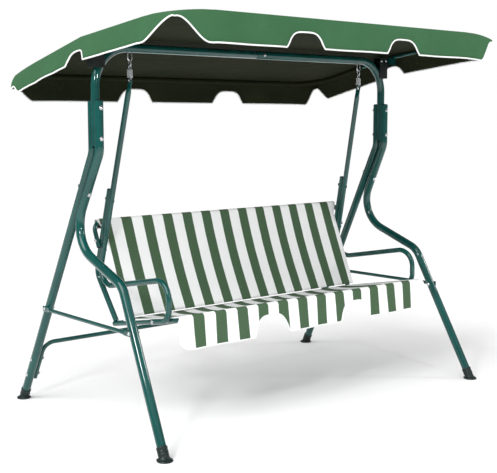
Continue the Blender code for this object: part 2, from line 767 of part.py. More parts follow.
def add_canopy_fittings(side_name, side, parent):
    """Add one side's fixed bracket, its tilting plate and their pivot bolt."""
    wall = HALF_SPAN + BAR_RADIUS + WELD_GAP
    outer = wall + BRACKET_WALL
    inner = outer - BRACKET_LENGTH
    half = BAR_RADIUS + WELD_GAP
    low, high = BAR_HEIGHT - BRACKET_LOW, BAR_HEIGHT + BRACKET_HIGH
    ends = sorted((side * inner, side * outer))
    wide = half + BRACKET_WALL
    bracket_mesh = block_mesh("bracket", (ends[0], -wide, low), (ends[1], wide, high))
    name = f"canopy_bracket_{side_name}"
    bracket = add_piece(name, bracket_mesh, "dark_plastic", smooth=False)
    slot_ends = sorted((side * (inner - 0.01), side * wall))
    slot = block_mesh("slot", (slot_ends[0], -half, low - 0.01), (slot_ends[1], half, high + 0.01))
    cut(bracket, add_cutter(f"{name}_slot", slot))
    tube_face = CANOPY_HALF - CANOPY_TUBE_INSET - CANOPY_TUBE_RADIUS - WELD_GAP
    plate_face = tube_face - PLATE_THICKNESS
    boss_ends = (Vector((side * (outer - 0.001), 0, TILT_Z)), Vector((side * (plate_face - GAP), 0, TILT_Z)))
    boss = rod_mesh("boss", *boss_ends, BOSS_RADIUS, 16)
    combine(bracket, add_cutter(f"{name}_boss", boss), "UNION")

    plate_ends = sorted((side * plate_face, side * tube_face))
    plate_half = CANOPY_TUBE_START + PLATE_REACH
    plate_low = (plate_ends[0], -plate_half, TILT_Z - PLATE_HALF_HEIGHT)
    plate_high = (plate_ends[1], plate_half, TILT_Z + PLATE_HALF_HEIGHT)
    plate_mesh = block_mesh("plate", plate_low, plate_high)
    plate = add_piece(f"canopy_plate_{side_name}", plate_mesh, "paint", parent, smooth=False)
    seat = (side * tube_face, 0, TILT_Z)
    bolt(f"tilt_bolt_{side_name}", seat, (-side, 0, 0), tube_face - wall, parent=parent, cuts=(plate, bracket))
    bracket.modifiers.move(0, len(bracket.modifiers) - 1)


# --- suspension --------------------------------------------------------------
def ring_points(centre, radius, first, last, plane):
    """Return points of a wire loop in the XZ or the YZ plane."""
    count = max(4, round(abs(last - first) / math.radians(36)))
    points = []
    for step in range(count + 1):
        angle = first + (last - first) * step / count
        across = radius * math.cos(angle)
        rise = radius * math.sin(angle)
        offset = Vector((across, 0, rise)) if plane == "XZ" else Vector((0, across, rise))
        points.append(Vector(centre) + offset)
    return points


def add_eye(side_name, side):
    """Add the bent wire eye under the crossbar."""
    x = side * HANG_X
    top = BAR_HEIGHT - BAR_RADIUS - GAP
    bend = EYE_SPREAD
    centre = (x, 0, EYE_Z + bend)
    points = [Vector((x + EYE_SPREAD, 0, top))]
    points += ring_points(centre, bend, 0.0, -math.pi, "XZ")
    points.append(Vector((x - EYE_SPREAD, 0, top)))
    name = f"suspension_eye_{side_name}"
    add_piece(name, swept_mesh(name, points, EYE_WIRE, TUBE_SIDES - 2), "zinc")


def add_link(side_name, side, parent):
    """Add the oval link that hangs in an eye."""
    half = LINK_WIDTH / 2
    x = side * HANG_X
    points = ring_points((x, 0, LINK_TOP - half), half, 0.0, math.pi, "YZ")
    points += ring_points((x, 0, LINK_BOTTOM + half), half, math.pi, 2 * math.pi, "YZ")
    name = f"suspension_link_{side_name}"
    mesh = swept_mesh(name, points, LINK_WIRE, WIRE_SIDES, closed=True)
    add_piece(name, mesh, "zinc", parent)


def add_spring(side_name, side, parent):
    """Add the coil spring with a closed loop at each end."""
    x = side * HANG_X
    turn = 2 * math.pi
    upper = (x, 0, LOOP_TOP - HOOK_RADIUS)
    lower = (x, 0, LOW_LOOP_BOTTOM + HOOK_RADIUS)
    points = ring_points(upper, HOOK_RADIUS, -0.30 * math.pi, 1.42 * math.pi, "XZ")
    count = SPRING_TURNS * 8
    for step in range(count + 1):
        angle = turn * step * SPRING_TURNS / count
        drop = (COIL_TOP - COIL_BOTTOM) * step / count
        points.append(Vector((x + SPRING_RADIUS * math.cos(angle), SPRING_RADIUS * math.sin(angle), COIL_TOP - drop)))
    points += ring_points(lower, HOOK_RADIUS, 0.42 * math.pi, -1.30 * math.pi, "XZ")
    name = f"suspension_spring_{side_name}"
    add_piece(name, swept_mesh(name, points, SPRING_WIRE, WIRE_SIDES), "zinc", parent)


# --- swinging seat -----------------------------------------------------------
def rail_height(y):
    """Return the height of the seat rails' centre."""
    return RAIL_Z - RAIL_SLOPE * (y - RAIL_REF_Y)


def hanger_at(height, side, behind=0.0):
    """Return the hanger's centre at a height, or a point behind it."""
    fall = (HOLE_Z - height) / (HOLE_Z - HANGER_CORNER[2])
    x = HANG_X + (HANGER_CORNER[0] - HANG_X) * fall
    return Vector((side * x, HANGER_SLOPE * (HOLE_Z - height) + behind, height))


def arm_height(y):
    """Return the height of an armrest's centre."""
    return HANGER_CORNER[2] + ARM_SLOPE * (HANGER_CORNER[1] - y)


def add_hanger(side_name, side, parent):
    """Add one hanger and armrest, bent from a single tube."""
    along = (hanger_at(HOLE_Z, side) - hanger_at(HANGER_CORNER[2], side)).normalized()
    hole = hanger_at(HOLE_Z, side)
    corners = [
        hole + along * HANGER_TIP,
        hanger_at(HANGER_CORNER[2], side),
        (side * (HANGER_CORNER[0] + ARM_X) / 2, ARM_FRONT_Y, arm_height(ARM_FRONT_Y)),
        (side * ARM_X, ARM_FRONT_Y, rail_height(ARM_FRONT_Y)),
        (side * ARM_X, ARM_END_Y, rail_height(ARM_END_Y)),
    ]
    points = bent(corners, [HANGER_BEND, ARM_FRONT_BEND, ARM_LOW_BEND])
    flat, shoulder = 0.016, 0.045
    points[1:1] = [hole - along * flat, hole - along * shoulder]
    name = f"hanger_arm_{side_name}"
    mesh = swept_mesh(name, points, SEAT_TUBE, TUBE_SIDES)
    flatten(mesh, hole, along, flat + 0.002, (1, 0, 0), 0.0036 / (2 * SEAT_TUBE), 1.2)
    hanger = add_piece(name, mesh, "paint", parent)
    hollow_points = points[2:]
    bore = swept_mesh("bore", reach_along(hollow_points, -0.01, 0.006), SEAT_TUBE - SEAT_WALL, TUBE_SIDES)
    cut(hanger, add_cutter(f"{name}_bore", bore))
    drill = rod_mesh("hook_hole", hole - Vector((0.02, 0, 0)), hole + Vector((0.02, 0, 0)), HOLE_RADIUS, 12)
    cut(hanger, add_cutter(f"{name}_hook_hole", drill))
    return hanger


def add_back_side(side_name, side, parent):
    """Add the tube behind a hanger that carries the back and meets the rail."""
    top = hanger_at(BACK_TOP_Z, side, SIDE_OFFSET)
    corner = hanger_at(BACK_CORNER_Z, side, SIDE_OFFSET)
    foot_y = REAR_BAR_Y + 2 * SEAT_TUBE
    foot = Vector((side * RAIL_X, foot_y, rail_height(foot_y)))
    rise = (corner - foot).normalized()
    end = foot + rise * (FOOT_STANDOFF * SEAT_TUBE)
    points = bent([top, corner, end], [BACK_CORNER_BEND])
    name = f"back_side_tube_{side_name}"
    tube = add_piece(name, swept_mesh(name, points, SEAT_TUBE, TUBE_SIDES), "paint", parent)
    hollow(tube, points, SEAT_TUBE - SEAT_WALL, TUBE_SIDES)
    return tube


def add_hanger_bolts(side_name, side, hanger, side_tube, parent):
    """Add the two bolts that join a hanger to the tube behind it."""
    across = Vector((0.0, 1.0, HANGER_SLOPE)).normalized()
    grip = 4 * SEAT_TUBE + WELD_GAP
    for number, height in enumerate(HANGER_BOLTS, 1):
        seat = hanger_at(height, side) - across * SEAT_TUBE
        name = f"hanger_bolt_{side_name}_{number}"
        bolt(name, seat, across, grip, parent=parent, cuts=(hanger, side_tube))


def add_seat_frame(parent):
    """Add the seat's U tube and its rear bar."""
    end = (RAIL_X, RAIL_END_Y, rail_height(RAIL_END_Y))
    corner = (RAIL_X, FRONT_BAR_Y, rail_height(FRONT_BAR_Y))
    points = bent([end, corner, *mirrored([end, corner])], [FRONT_BAR_BEND] * 2)
    frame = add_piece("seat_frame_tube", swept_mesh("seat_frame", points, SEAT_TUBE, TUBE_SIDES), "paint", parent)
    hollow(frame, points, SEAT_TUBE - SEAT_WALL, TUBE_SIDES)
    inner = RAIL_X - SEAT_TUBE - WELD_GAP
    height = rail_height(REAR_BAR_Y)
    bar_points = [Vector((-inner, REAR_BAR_Y, height)), Vector((inner, REAR_BAR_Y, height))]
    mesh = swept_mesh("seat_rear_bar", bar_points, SEAT_TUBE, TUBE_SIDES)
    bar = add_piece("seat_rear_bar", mesh, "paint", parent)
    hollow(bar, bar_points, SEAT_TUBE - SEAT_WALL, TUBE_SIDES)
    return frame


def top_tube_y(height):
    """Return where the back's top tube lies at a height of its legs."""
    pivot = hanger_at(TOP_BOLT_Z, 1, SIDE_OFFSET).y
    return pivot + TOP_TUBE_LEAN * (height - TOP_BOLT_Z)


def add_back_top(side_tubes, parent):
    """Add the back's top tube, bolted outside both side tubes."""
    side_x = hanger_at(TOP_BOLT_Z, 1).x
    x = side_x + SEAT_TUBE + TOP_TUBE_RADIUS + SIDE_GAP
    end = (x, top_tube_y(TOP_TUBE_END_Z), TOP_TUBE_END_Z)
    corner = (x, top_tube_y(TOP_TUBE_Z), TOP_TUBE_Z)
    points = bent([end, corner, *mirrored([end, corner])], [TOP_TUBE_BEND] * 2)
    tube = add_piece("back_top_tube", swept_mesh("back_top", points, TOP_TUBE_RADIUS, TUBE_SIDES), "paint", parent)
    hollow(tube, points, TOP_TUBE_RADIUS - SEAT_WALL, TUBE_SIDES)
    grip = 2 * SEAT_TUBE + 2 * TOP_TUBE_RADIUS + SIDE_GAP
    for side_name, side in SIDES.items():
        seat = (side * (x + TOP_TUBE_RADIUS), top_tube_y(TOP_BOLT_Z), TOP_BOLT_Z)
        name = f"back_top_bolt_{side_name}"
        bolt(name, seat, (-side, 0, 0), grip, parent=parent, cuts=(tube, side_tubes[side_name]))


def add_arm_bolts(hangers, frame, parent):
    """Add the bolts that hold the armrests' ends to the seat rails."""
    grip = 4 * SEAT_TUBE + SIDE_GAP
    for side_name, side in SIDES.items():
        seat = (side * (ARM_X + SEAT_TUBE), ARM_BOLT_Y, rail_height(ARM_BOLT_Y))
        name = f"arm_bolt_{side_name}"
        bolt(name, seat, (-side, 0, 0), grip, parent=parent, cuts=(hangers[side_name], frame))


def cloth_mesh(name, profile, widths, columns, hem=None, sags=None):
    """Return an open cloth surface swept across the bench.

    Args:
        name: the mesh's name.
        profile: the (y, z) points of the cloth's section.
        widths: the half width at each point of the section.
        columns: the number of faces across.
        hem: optional function of x that gives the last row's share of its depth.
        sags: how far the middle of each row sags.
    """
    shape = bmesh.new()
    bmesh.ops.create_grid(shape, x_segments=columns, y_segments=len(profile) - 1, size=1.0)
    last = len(profile) - 1
    for vertex in shape.verts:
        row = round((vertex.co.y + 1) / 2 * last)
        x = vertex.co.x * widths[row]
        y, z = profile[row]
        if hem and row == last:
            above_y, above_z = profile[row - 1]
            share = hem(x)
            y = above_y + (y - above_y) * share
            z = above_z + (z - above_z) * share
        if sags:
            z -= sags[row] * (1 - vertex.co.x**4)
        vertex.co = (x, y, z)
    bmesh.ops.recalc_face_normals(shape, faces=shape.faces)
    mesh = bpy.data.meshes.new(name)
    shape.to_mesh(mesh)
    shape.free()
    return mesh


def add_cloth(name, mesh, parent):
    """Add a cloth surface as a closed sheet."""
    cloth = add_piece(name, mesh, "seat_cloth", parent)
    skin = cloth.modifiers.new("skin", "SOLIDIFY")
    skin.thickness = CLOTH
    skin.offset = 0.0


def valance_share(x):
    """Return how much of the seat valance's depth hangs at a place."""
    share = 1.0
    inside = max(0.0, 1 - (abs(abs(x) - VALANCE_NOTCH_X) / VALANCE_NOTCH_HALF) ** 4)
    share -= VALANCE_NOTCH / VALANCE_DEPTH * inside
    left = VALANCE_HALF - abs(x)
    if left < 0.04:
        share *= 0.75 + 0.25 * left / 0.04
    return share


def add_seat_cloth(parent):
    """Add the seat's cloth: flat, rolled over the front bar, then a valance."""
    lift = SEAT_TUBE + CLOTH_LIFT
    lean = math.atan(RAIL_SLOPE)
    front = rail_height(FRONT_BAR_Y)
    tilt = math.pi / 2 - lean
    profile = []
    sags = []
    end = REAR_BAR_Y - SEAT_CLOTH_END
    for share in (0.0, 0.3, 0.7, 0.93):
        y = end + (FRONT_BAR_Y - end) * share
        profile.append((y, rail_height(y) + lift / math.cos(lean)))
        sags.append(SEAT_SAG * math.sin(math.pi * share))
    for step in range(4):
        angle = tilt + (math.pi - tilt) * step / 3
        profile.append((FRONT_BAR_Y + lift * math.cos(angle), front + lift * math.sin(angle)))
    profile.append((FRONT_BAR_Y - lift - VALANCE_LEAN, front - VALANCE_DEPTH))
    widths = [SEAT_CLOTH_HALF] * (len(profile) - 3) + [VALANCE_HALF] * 3
    sags += [0.0] * (len(profile) - len(sags))
    add_cloth("seat_cloth", cloth_mesh("seat_cloth", profile, widths, 30, valance_share, sags), parent)


def add_back_cloth(parent):
    """Add the back's cloth: flat, then wrapped over the top tube."""
    lift = TOP_TUBE_RADIUS + CLOTH_LIFT
    tube = Vector((top_tube_y(TOP_TUBE_Z), TOP_TUBE_Z))
    foot = Vector((REAR_BAR_Y - BACK_FOOT_AHEAD, rail_height(REAR_BAR_Y) + SEAT_TUBE + BACK_FOOT_RISE))
    rise = (tube - foot).normalized()
    normal = Vector((-rise.y, rise.x))
    profile = [tuple(foot.lerp(tube + normal * lift, share)) for share in (0.0, 0.5, BACK_SPREAD_START)]
    start = math.atan2(normal.y, normal.x)
    for step in range(6):
        angle = start - math.pi * step / 5
        profile.append((tube.x + lift * math.cos(angle), tube.y + lift * math.sin(angle)))
    behind = Vector(profile[-1]) - rise * BACK_SLEEVE
    profile.append(tuple(behind))
    widths = [BACK_CLOTH_HALF] * 3 + [BACK_CLOTH_HALF + BACK_TOP_SPREAD] * (len(profile) - 3)
    add_cloth("back_cloth", cloth_mesh("back_cloth", profile, widths, 12), parent)


# --- assembly ----------------------------------------------------------------
def build_frame():
    """Build the standing frame with its fasteners."""
    bars = add_crossbar()
    rears = {}
    for side_name, side in SIDES.items():
        front, rear = add_legs(side_name, side)
        rears[side_name] = rear
        add_leg_bolts(side_name, side, front, rear, bars[side_name])
        add_side_brace(side_name, side, front, rear)
        ground_rear = rear_leg_at(0.0, side)
        ground_front = front_leg_at(0.0, side)
        add_foot_cap(f"foot_cap_rear_{side_name}", ground_rear, rear_leg_at(0.2, side) - ground_rear)
        add_foot_cap(f"foot_cap_front_{side_name}", ground_front, front_leg_at(0.2, side) - ground_front)
        add_eye(side_name, side)
    add_stretcher(rears)


def build_canopy():
    """Build the canopy on its tilt axis."""
    axis = add_axis("canopy_tilt_axis", (0, 0, TILT_Z))
    add_canopy_tube("canopy_tube_front", CANOPY_FRONT, -1, axis)
    add_canopy_tube("canopy_tube_rear", CANOPY_REAR, 1, axis)
    for side_name, side in SIDES.items():
        add_canopy_fittings(side_name, side, axis)
    add_canopy_cloth(axis)


def build_seat():
    """Build the suspension and the seat on the swing axis."""
    axis = add_axis("seat_swing_axis", (0, 0, EYE_Z))
    hangers = {}
    side_tubes = {}
    for side_name, side in SIDES.items():
        add_link(side_name, side, axis)
        add_spring(side_name, side, axis)
        hangers[side_name] = add_hanger(side_name, side, axis)
        side_tubes[side_name] = add_back_side(side_name, side, axis)
        add_hanger_bolts(side_name, side, hangers[side_name], side_tubes[side_name], axis)
    frame = add_seat_frame(axis)
    add_back_top(side_tubes, axis)
    add_arm_bolts(hangers, frame, axis)
    add_seat_cloth(axis)
    add_back_cloth(axis)


build_frame()
build_canopy()
build_seat()
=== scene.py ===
"""Looks of the canopy swing bench: fine tubes, fasteners, springs and cloth.

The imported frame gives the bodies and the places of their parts.  Each class
below dresses one sub-assembly with smooth meshes and procedural finishes.
Metres, +Z up, +X to the right seen from the front, -Y towards the front.
"""

from __future__ import annotations

import logging
import math
from collections.abc import Iterable, Sequence
from dataclasses import dataclass, field
from enum import Enum

import bmesh
import bpy
from mathutils import Matrix, Vector, noise


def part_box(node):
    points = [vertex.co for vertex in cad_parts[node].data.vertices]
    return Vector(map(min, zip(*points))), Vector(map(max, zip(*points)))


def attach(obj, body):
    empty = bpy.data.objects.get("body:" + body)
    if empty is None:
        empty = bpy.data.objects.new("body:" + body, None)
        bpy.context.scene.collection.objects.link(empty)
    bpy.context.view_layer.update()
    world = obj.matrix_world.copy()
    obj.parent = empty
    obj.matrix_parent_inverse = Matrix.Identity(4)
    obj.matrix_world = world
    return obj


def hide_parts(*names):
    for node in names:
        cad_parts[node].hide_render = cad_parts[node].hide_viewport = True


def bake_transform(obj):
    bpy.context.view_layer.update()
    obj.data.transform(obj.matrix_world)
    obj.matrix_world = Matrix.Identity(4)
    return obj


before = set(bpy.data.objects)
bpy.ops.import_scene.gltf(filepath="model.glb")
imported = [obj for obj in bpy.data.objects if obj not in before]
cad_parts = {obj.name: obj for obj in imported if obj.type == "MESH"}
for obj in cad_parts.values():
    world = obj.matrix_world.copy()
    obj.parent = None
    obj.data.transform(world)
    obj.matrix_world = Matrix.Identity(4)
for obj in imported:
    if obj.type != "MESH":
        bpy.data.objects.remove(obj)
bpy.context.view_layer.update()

LOG = logging.getLogger("swing_bench")
Points = list[Vector]
Triple = tuple[float, float, float]
GAP = 0.0004


class Side(Enum):
    """An end of the bench, seen from the front."""

    LEFT = -1
    RIGHT = 1

    @property
    def word(self) -> str:
        """Return the side's word in a node name."""
        return self.name.lower()


class Body(Enum):
    """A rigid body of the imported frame."""

    FRAME = "frame"
    CANOPY = "canopy"
    SUSPENSION = "suspension"
    SEAT = "seat"


class Slot(Enum):
    """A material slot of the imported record."""

    PAINT = "teal_paint"
    ZINC = "zinc_steel"
    RUBBER = "rubber"
    CANOPY = "canopy_cloth"
    SEAT = "seat_cloth"
    PLASTIC = "dark_plastic"


# --- shader graphs -----------------------------------------------------------
class Value:
    """A number socket whose arithmetic adds Math nodes."""

    def __init__(self, graph: Graph, socket: bpy.types.NodeSocket) -> None:
        """Wrap an output socket of a graph."""
        self.graph = graph
        self.socket = socket

    def maths(self, operation: str, *others: Value | float) -> Value:
        """Return a Math node's result.

        Args:
            operation: the Math node's operation.
            others: the further operands.

        Returns:
            The result as a value.
        """
        values = dict(enumerate((self, *others)))
        made = self.graph.node("ShaderNodeMath", {"operation": operation}, values)
        return Value(self.graph, made.outputs[0])

    def __add__(self, other: Value | float) -> Value:
        """Return the sum."""
        return self.maths("ADD", other)

    __radd__ = __add__

    def __sub__(self, other: Value | float) -> Value:
        """Return the difference."""
        return self.maths("SUBTRACT", other)

    def __rsub__(self, other: float) -> Value:
        """Return a number minus this value."""
        return (self * -1.0) + other

    def __mul__(self, other: Value | float) -> Value:
        """Return the product."""
        return self.maths("MULTIPLY", other)

    __rmul__ = __mul__

    def steps(self, low: float, high: float) -> Value:
        """Return a smooth step of this value.

        Args:
            low: where the step leaves 0.
            high: where it reaches 1.

        Returns:
            The step as a value.
        """
        made = self.graph.node(
            "ShaderNodeMapRange",
            {"interpolation_type": "SMOOTHSTEP"},
            {"Value": self, "From Min": low, "From Max": high},
        )
        return Value(self.graph, made.outputs["Result"])


class Graph:
    """A Principled material built node by node."""

    def __init__(self, name: str) -> None:
        """Start a material with a bare Principled shader.

        Args:
            name: the material's name.
        """
        self.material = bpy.data.materials.new(name)
        self.material.use_nodes = True
        self.tree = self.material.node_tree
        self.shader = self.tree.nodes["Principled BSDF"]
        coordinates = self.node("ShaderNodeTexCoord")
        self.place = coordinates.outputs["Object"]

    def node(self, kind: str, settings: dict | None = None, sockets: dict | None = None) -> bpy.types.Node:
        """Add a node.

        Args:
            kind: the node's type.
            settings: its properties, set first.
            sockets: numbers, colours, values or output sockets by input name or index.

        Returns:
            The node.
        """
        made = self.tree.nodes.new(kind)
        for key, setting in (settings or {}).items():
            setattr(made, key, setting)
        for key, given in (sockets or {}).items():
            self.feed(made.inputs[key], given)
        return made

    def feed(self, target: bpy.types.NodeSocket, given: object) -> None:
        """Link or set one input socket.

        Args:
            target: the input.
            given: a value, an output socket, a number or a colour.
        """
        if isinstance(given, Value):
            given = given.socket
        if isinstance(given, bpy.types.NodeSocket):
            self.tree.links.new(given, target)
        else:
            target.default_value = given

    def axes(self) -> tuple[Value, Value, Value]:
        """Return the object coordinates as three values."""
        split = self.node("ShaderNodeSeparateXYZ", None, {"Vector": self.place})
        return tuple(Value(self, split.outputs[axis]) for axis in "XYZ")

    def noise(self, scale: float, detail: float = 3.0, roughness: float = 0.55) -> Value:
        """Add fractal noise of the object coordinates.

        Args:
            scale: the noise scale, per metre.
            detail: how many octaves.
            roughness: how strong the finer octaves are.

        Returns:
            The noise, from 0 to 1.
        """
        sockets = {"Vector": self.place, "Scale": scale, "Detail": detail, "Roughness": roughness}
        made = self.node("ShaderNodeTexNoise", None, sockets)
        return Value(self, made.outputs[0])

    def stretched_noise(self, stretch: Triple, scale: float, detail: float = 2.0) -> Value:
        """Add noise of coordinates stretched along the axes.

        Args:
            stretch: the axes' own scales.
            scale: the noise scale, per metre.
            detail: how many octaves.

        Returns:
            The noise, from 0 to 1.
        """
        mapped = self.node("ShaderNodeMapping", None, {"Vector": self.place, "Scale": stretch})
        sockets = {"Vector": mapped.outputs[0], "Scale": scale, "Detail": detail}
        made = self.node("ShaderNodeTexNoise", None, sockets)
        return Value(self, made.outputs[0])

    def mix(self, share: Value | float, first: object, second: object) -> bpy.types.NodeSocket:
        """Return a colour mixed from two."""
        made = self.node("ShaderNodeMix", {"data_type": "RGBA"}, {0: share, 6: first, 7: second})
        return made.outputs[2]

    def bump(
        self,
        height: Value,
        strength: float,
        distance: float,
        below: bpy.types.NodeSocket | None = None,
    ) -> bpy.types.NodeSocket:
        """Raise the surface by a height.

        Args:
            height: the height, from 0 to 1.
            strength: the share of the height that shows.
            distance: the full height in metres.
            below: a normal to build on.

        Returns:
            The normal.
        """
        sockets = {"Height": height, "Strength": strength, "Distance": distance}
        if below is not None:
            sockets["Normal"] = below
        return self.node("ShaderNodeBump", None, sockets).outputs[0]

    def weave(self, pitch: float) -> Value:
        """Return the height of a plain weave.

        Args:
            pitch: the distance between two yarns.

        Returns:
            The height, from 0 to 1.
        """
        x, y, z = self.axes()
        turns = math.tau / pitch
        warp = (x * turns).maths("SINE")
        weft = ((y + z) * turns).maths("SINE")
        return warp * weft * 0.5 + 0.5

    def close(self, **inputs: object) -> bpy.types.Material:
        """Feed the shader's inputs.

        Args:
            inputs: what each input gets, by its name with underscores.

        Returns:
            The material.
        """
        for key, given in inputs.items():
            self.feed(self.shader.inputs[key.replace("_", " ")], given)
        return self.material


Colour = tuple[float, float, float, float]


@dataclass(frozen=True)
class GlossPaint:
    """Glossy powder coat with a faint orange peel."""

    name: str = "gloss_paint"
    colour: Colour = (0.003, 0.074, 0.064, 1.0)
    shade: Colour = (0.002, 0.052, 0.046, 1.0)

    def build(self) -> bpy.types.Material:
        """Build the finish's nodes.

        Returns:
            The material.
        """
        graph = Graph(self.name)
        cloud = graph.noise(9.0).steps(0.3, 0.75)
        dust = graph.noise(150.0, 5.0).steps(0.56, 0.78)
        base = graph.mix(cloud, self.shade, self.colour)
        base = graph.mix(dust * 0.05, base, (0.20, 0.26, 0.24, 1.0))
        peel = graph.noise(420.0, 2.0)
        return graph.close(
            Base_Color=base,
            Roughness=cloud * 0.06 + dust * 0.10 + 0.17,
            Normal=graph.bump(peel, 0.10, 0.0004),
            Specular_IOR_Level=0.10,
            Coat_Weight=0.95,
            Coat_Roughness=0.03,
        )


@dataclass(frozen=True)
class ZincPlate:
    """Bright zinc plating with fine scratches and dull patches."""

    name: str = "zinc_plate"
    colour: Colour = (0.66, 0.68, 0.70, 1.0)

    def build(self) -> bpy.types.Material:
        """Build the finish's nodes.

        Returns:
            The material.
        """
        graph = Graph(self.name)
        patch = graph.noise(260.0, 3.0).steps(0.35, 0.7)
        scratch = graph.stretched_noise((1.0, 1.0, 9.0), 700.0)
        base = graph.mix(patch * 0.5, self.colour, (0.45, 0.47, 0.50, 1.0))
        return graph.close(
            Base_Color=base,
            Metallic=1.0,
            Roughness=patch * 0.14 + scratch * 0.10 + 0.18,
            Normal=graph.bump(scratch, 0.08, 0.0002),
        )


@dataclass(frozen=True)
class MouldedBlack:
    """Moulded rubber or plastic in a near-black green, with a fine grain."""

    name: str
    colour: Colour
    scuffed: Colour
    roughness: float

    def build(self) -> bpy.types.Material:
        """Build the finish's nodes.

        Returns:
            The material.
        """
        graph = Graph(self.name)
        _, _, z = graph.axes()
        grain = graph.noise(1400.0, 2.0)
        wear = graph.noise(70.0, 4.0).steps(0.50, 0.72)
        dirt = (1.0 - z.steps(0.0, 0.03)) * wear
        base = graph.mix(wear * 0.25 + dirt * 0.35, self.colour, self.scuffed)
        return graph.close(
            Base_Color=base,
            Roughness=wear * 0.12 + grain * 0.08 + self.roughness,
            Normal=graph.bump(grain, 0.18, 0.0003),
            Specular_IOR_Level=0.35,
        )


@dataclass(frozen=True)
class PlainCloth:
    """Coated woven cloth of one dyed colour, with creases."""

    name: str
    colour: Colour
    faded: Colour
    crease: float = 0.5
    pitch: float = 0.0016
    specular: float = 0.25
    sheen: float = 0.03

    def build(self) -> bpy.types.Material:
        """Build the finish's nodes.

        Returns:
            The material.
        """
        graph = Graph(self.name)
        weave = graph.weave(self.pitch)
        fade = graph.noise(4.0, 4.0).steps(0.35, 0.7)
        slub = graph.stretched_noise((1.0, 14.0, 14.0), 60.0)
        base = graph.mix(fade * 0.6 + slub * 0.25, self.colour, self.faded)
        base = graph.mix(weave * 0.18, base, self.faded)
        crease = graph.stretched_noise((1.0, 1.6, 1.3), 7.0, 4.0)
        folds = graph.bump(crease, self.crease, 0.020)
        return graph.close(
            Base_Color=base,
            Roughness=weave * 0.08 + 0.80,
            Normal=graph.bump(weave, 0.35, 0.0003, folds),
            Specular_IOR_Level=self.specular,
            Sheen_Weight=self.sheen,
            Sheen_Roughness=0.5,
        )


@dataclass(frozen=True)
class StripedCloth:
    """White woven cloth with dyed stripes across the bench."""

    name: str
    pitch: float
    width: float
    centre: float
    middle: float
    reach: float
    white: Colour = (0.86, 0.87, 0.87, 1.0)
    dye: Colour = (0.021, 0.070, 0.021, 1.0)
    dye_light: Colour = (0.038, 0.096, 0.036, 1.0)
    margin: float = 0.0035

    def build(self) -> bpy.types.Material:
        """Build the finish's nodes.

        Returns:
            The material.
        """
        graph = Graph(self.name)
        x, _, _ = graph.axes()
        waver = (graph.noise(24.0, 2.0) - 0.5) * 0.0022
        turn = (x + waver - self.centre) * (1 / self.pitch) + 100.5
        across = (turn.maths("FRACT") - 0.5).maths("ABSOLUTE") * self.pitch
        edge = self.width / 2
        inside = 1.0 - (x - self.middle).maths("ABSOLUTE").steps(self.reach - 0.0004, self.reach + 0.0004)
        stripe = (1.0 - across.steps(edge - 0.0004, edge + 0.0004)) * inside
        border = across.steps(edge - self.margin, edge - self.margin + 0.0006) * stripe
        weave = graph.weave(0.0018)
        slub = graph.stretched_noise((14.0, 1.0, 1.0), 50.0)
        dyed = graph.mix(slub * 0.6 + border * 0.35, self.dye, self.dye_light)
        white = graph.mix(slub * 0.30, self.white, (0.74, 0.76, 0.76, 1.0))
        base = graph.mix(stripe, white, dyed)
        base = graph.mix(weave * 0.12, base, (0.55, 0.60, 0.55, 1.0))
        crease = graph.stretched_noise((1.0, 1.8, 1.8), 6.0, 4.0)
        folds = graph.bump(crease, 0.35, 0.014)
        return graph.close(
            Base_Color=base,
            Roughness=weave * 0.08 + 0.82,
            Normal=graph.bump(weave, 0.4, 0.0003, folds),
            Specular_IOR_Level=0.2,
            Sheen_Weight=0.03,
            Sheen_Roughness=0.5,
        )


class Finishes:
    """Every finish of the bench, built once."""

    def __init__(self) -> None:
        """Build the materials."""
        self.paint = GlossPaint().build()
        self.zinc = ZincPlate().build()
        self.rubber = MouldedBlack(
            "foot_rubber",
            colour=(0.004, 0.013, 0.012, 1.0),
            scuffed=(0.025, 0.036, 0.033, 1.0),
            roughness=0.34,
        ).build()
        # Near-black: the end plugs' own colour, and painted shade on the canopy brackets.
        self.plastic = MouldedBlack(
            "bracket_plastic",
            colour=(0.004, 0.009, 0.008, 1.0),
            scuffed=(0.018, 0.024, 0.022, 1.0),
            roughness=0.42,
        ).build()
        self.roof = PlainCloth(
            "canopy_outer",
            colour=(0.028, 0.106, 0.041, 1.0),
            faded=(0.039, 0.130, 0.054, 1.0),
        ).build()
        # The inner face's near-black colour is painted shade under the roof; the tube pockets wear it too.
        self.lining = PlainCloth(
            "canopy_lining",
            colour=(0.013, 0.017, 0.008, 1.0),
            faded=(0.021, 0.023, 0.011, 1.0),
            specular=0.06,
            sheen=0.0,
        ).build()
        self.piping = PlainCloth(
            "white_piping",
            colour=(0.84, 0.85, 0.84, 1.0),
            faded=(0.74, 0.76, 0.75, 1.0),
            crease=0.1,
            pitch=0.0009,
        ).build()
        self.thread = PlainCloth(
            "green_thread",
            colour=(0.030, 0.085, 0.045, 1.0),
            faded=(0.05, 0.12, 0.06, 1.0),
            crease=0.1,
            pitch=0.0006,
        ).build()


# --- mesh helpers ------------------------------------------------------------
def bent(corners: Sequence[Sequence[float]], radii: Sequence[float], step: float = 5.0) -> Points:
    """Return the centre line of a bent tube.

    Args:
        corners: the straight runs' corner points, ends included.
        radii: the bend radius at each inner corner.
        step: the degrees of turn between two points of a bend.

    Returns:
        The points, with each bend as an arc.
    """
    corners = [Vector(corner) for corner in corners]
    points = [corners[0]]
    for before, corner, after, radius in zip(corners, corners[1:], corners[2:], radii):
        back = (before - corner).normalized()
        ahead = (after - corner).normalized()
        turn = math.pi - back.angle(ahead)
        reach = radius * math.tan(turn / 2)
        centre = corner + (back + ahead).normalized() * (radius / math.cos(turn / 2))
        start = corner + back * reach - centre
        axis = back.cross(ahead).normalized()
        steps = max(3, math.ceil(math.degrees(turn) / step))
        for index in range(steps + 1):
            spin = Matrix.Rotation(-turn * index / steps, 3, axis)
            points.append(centre + spin @ start)
    points.append(corners[-1])
    return points


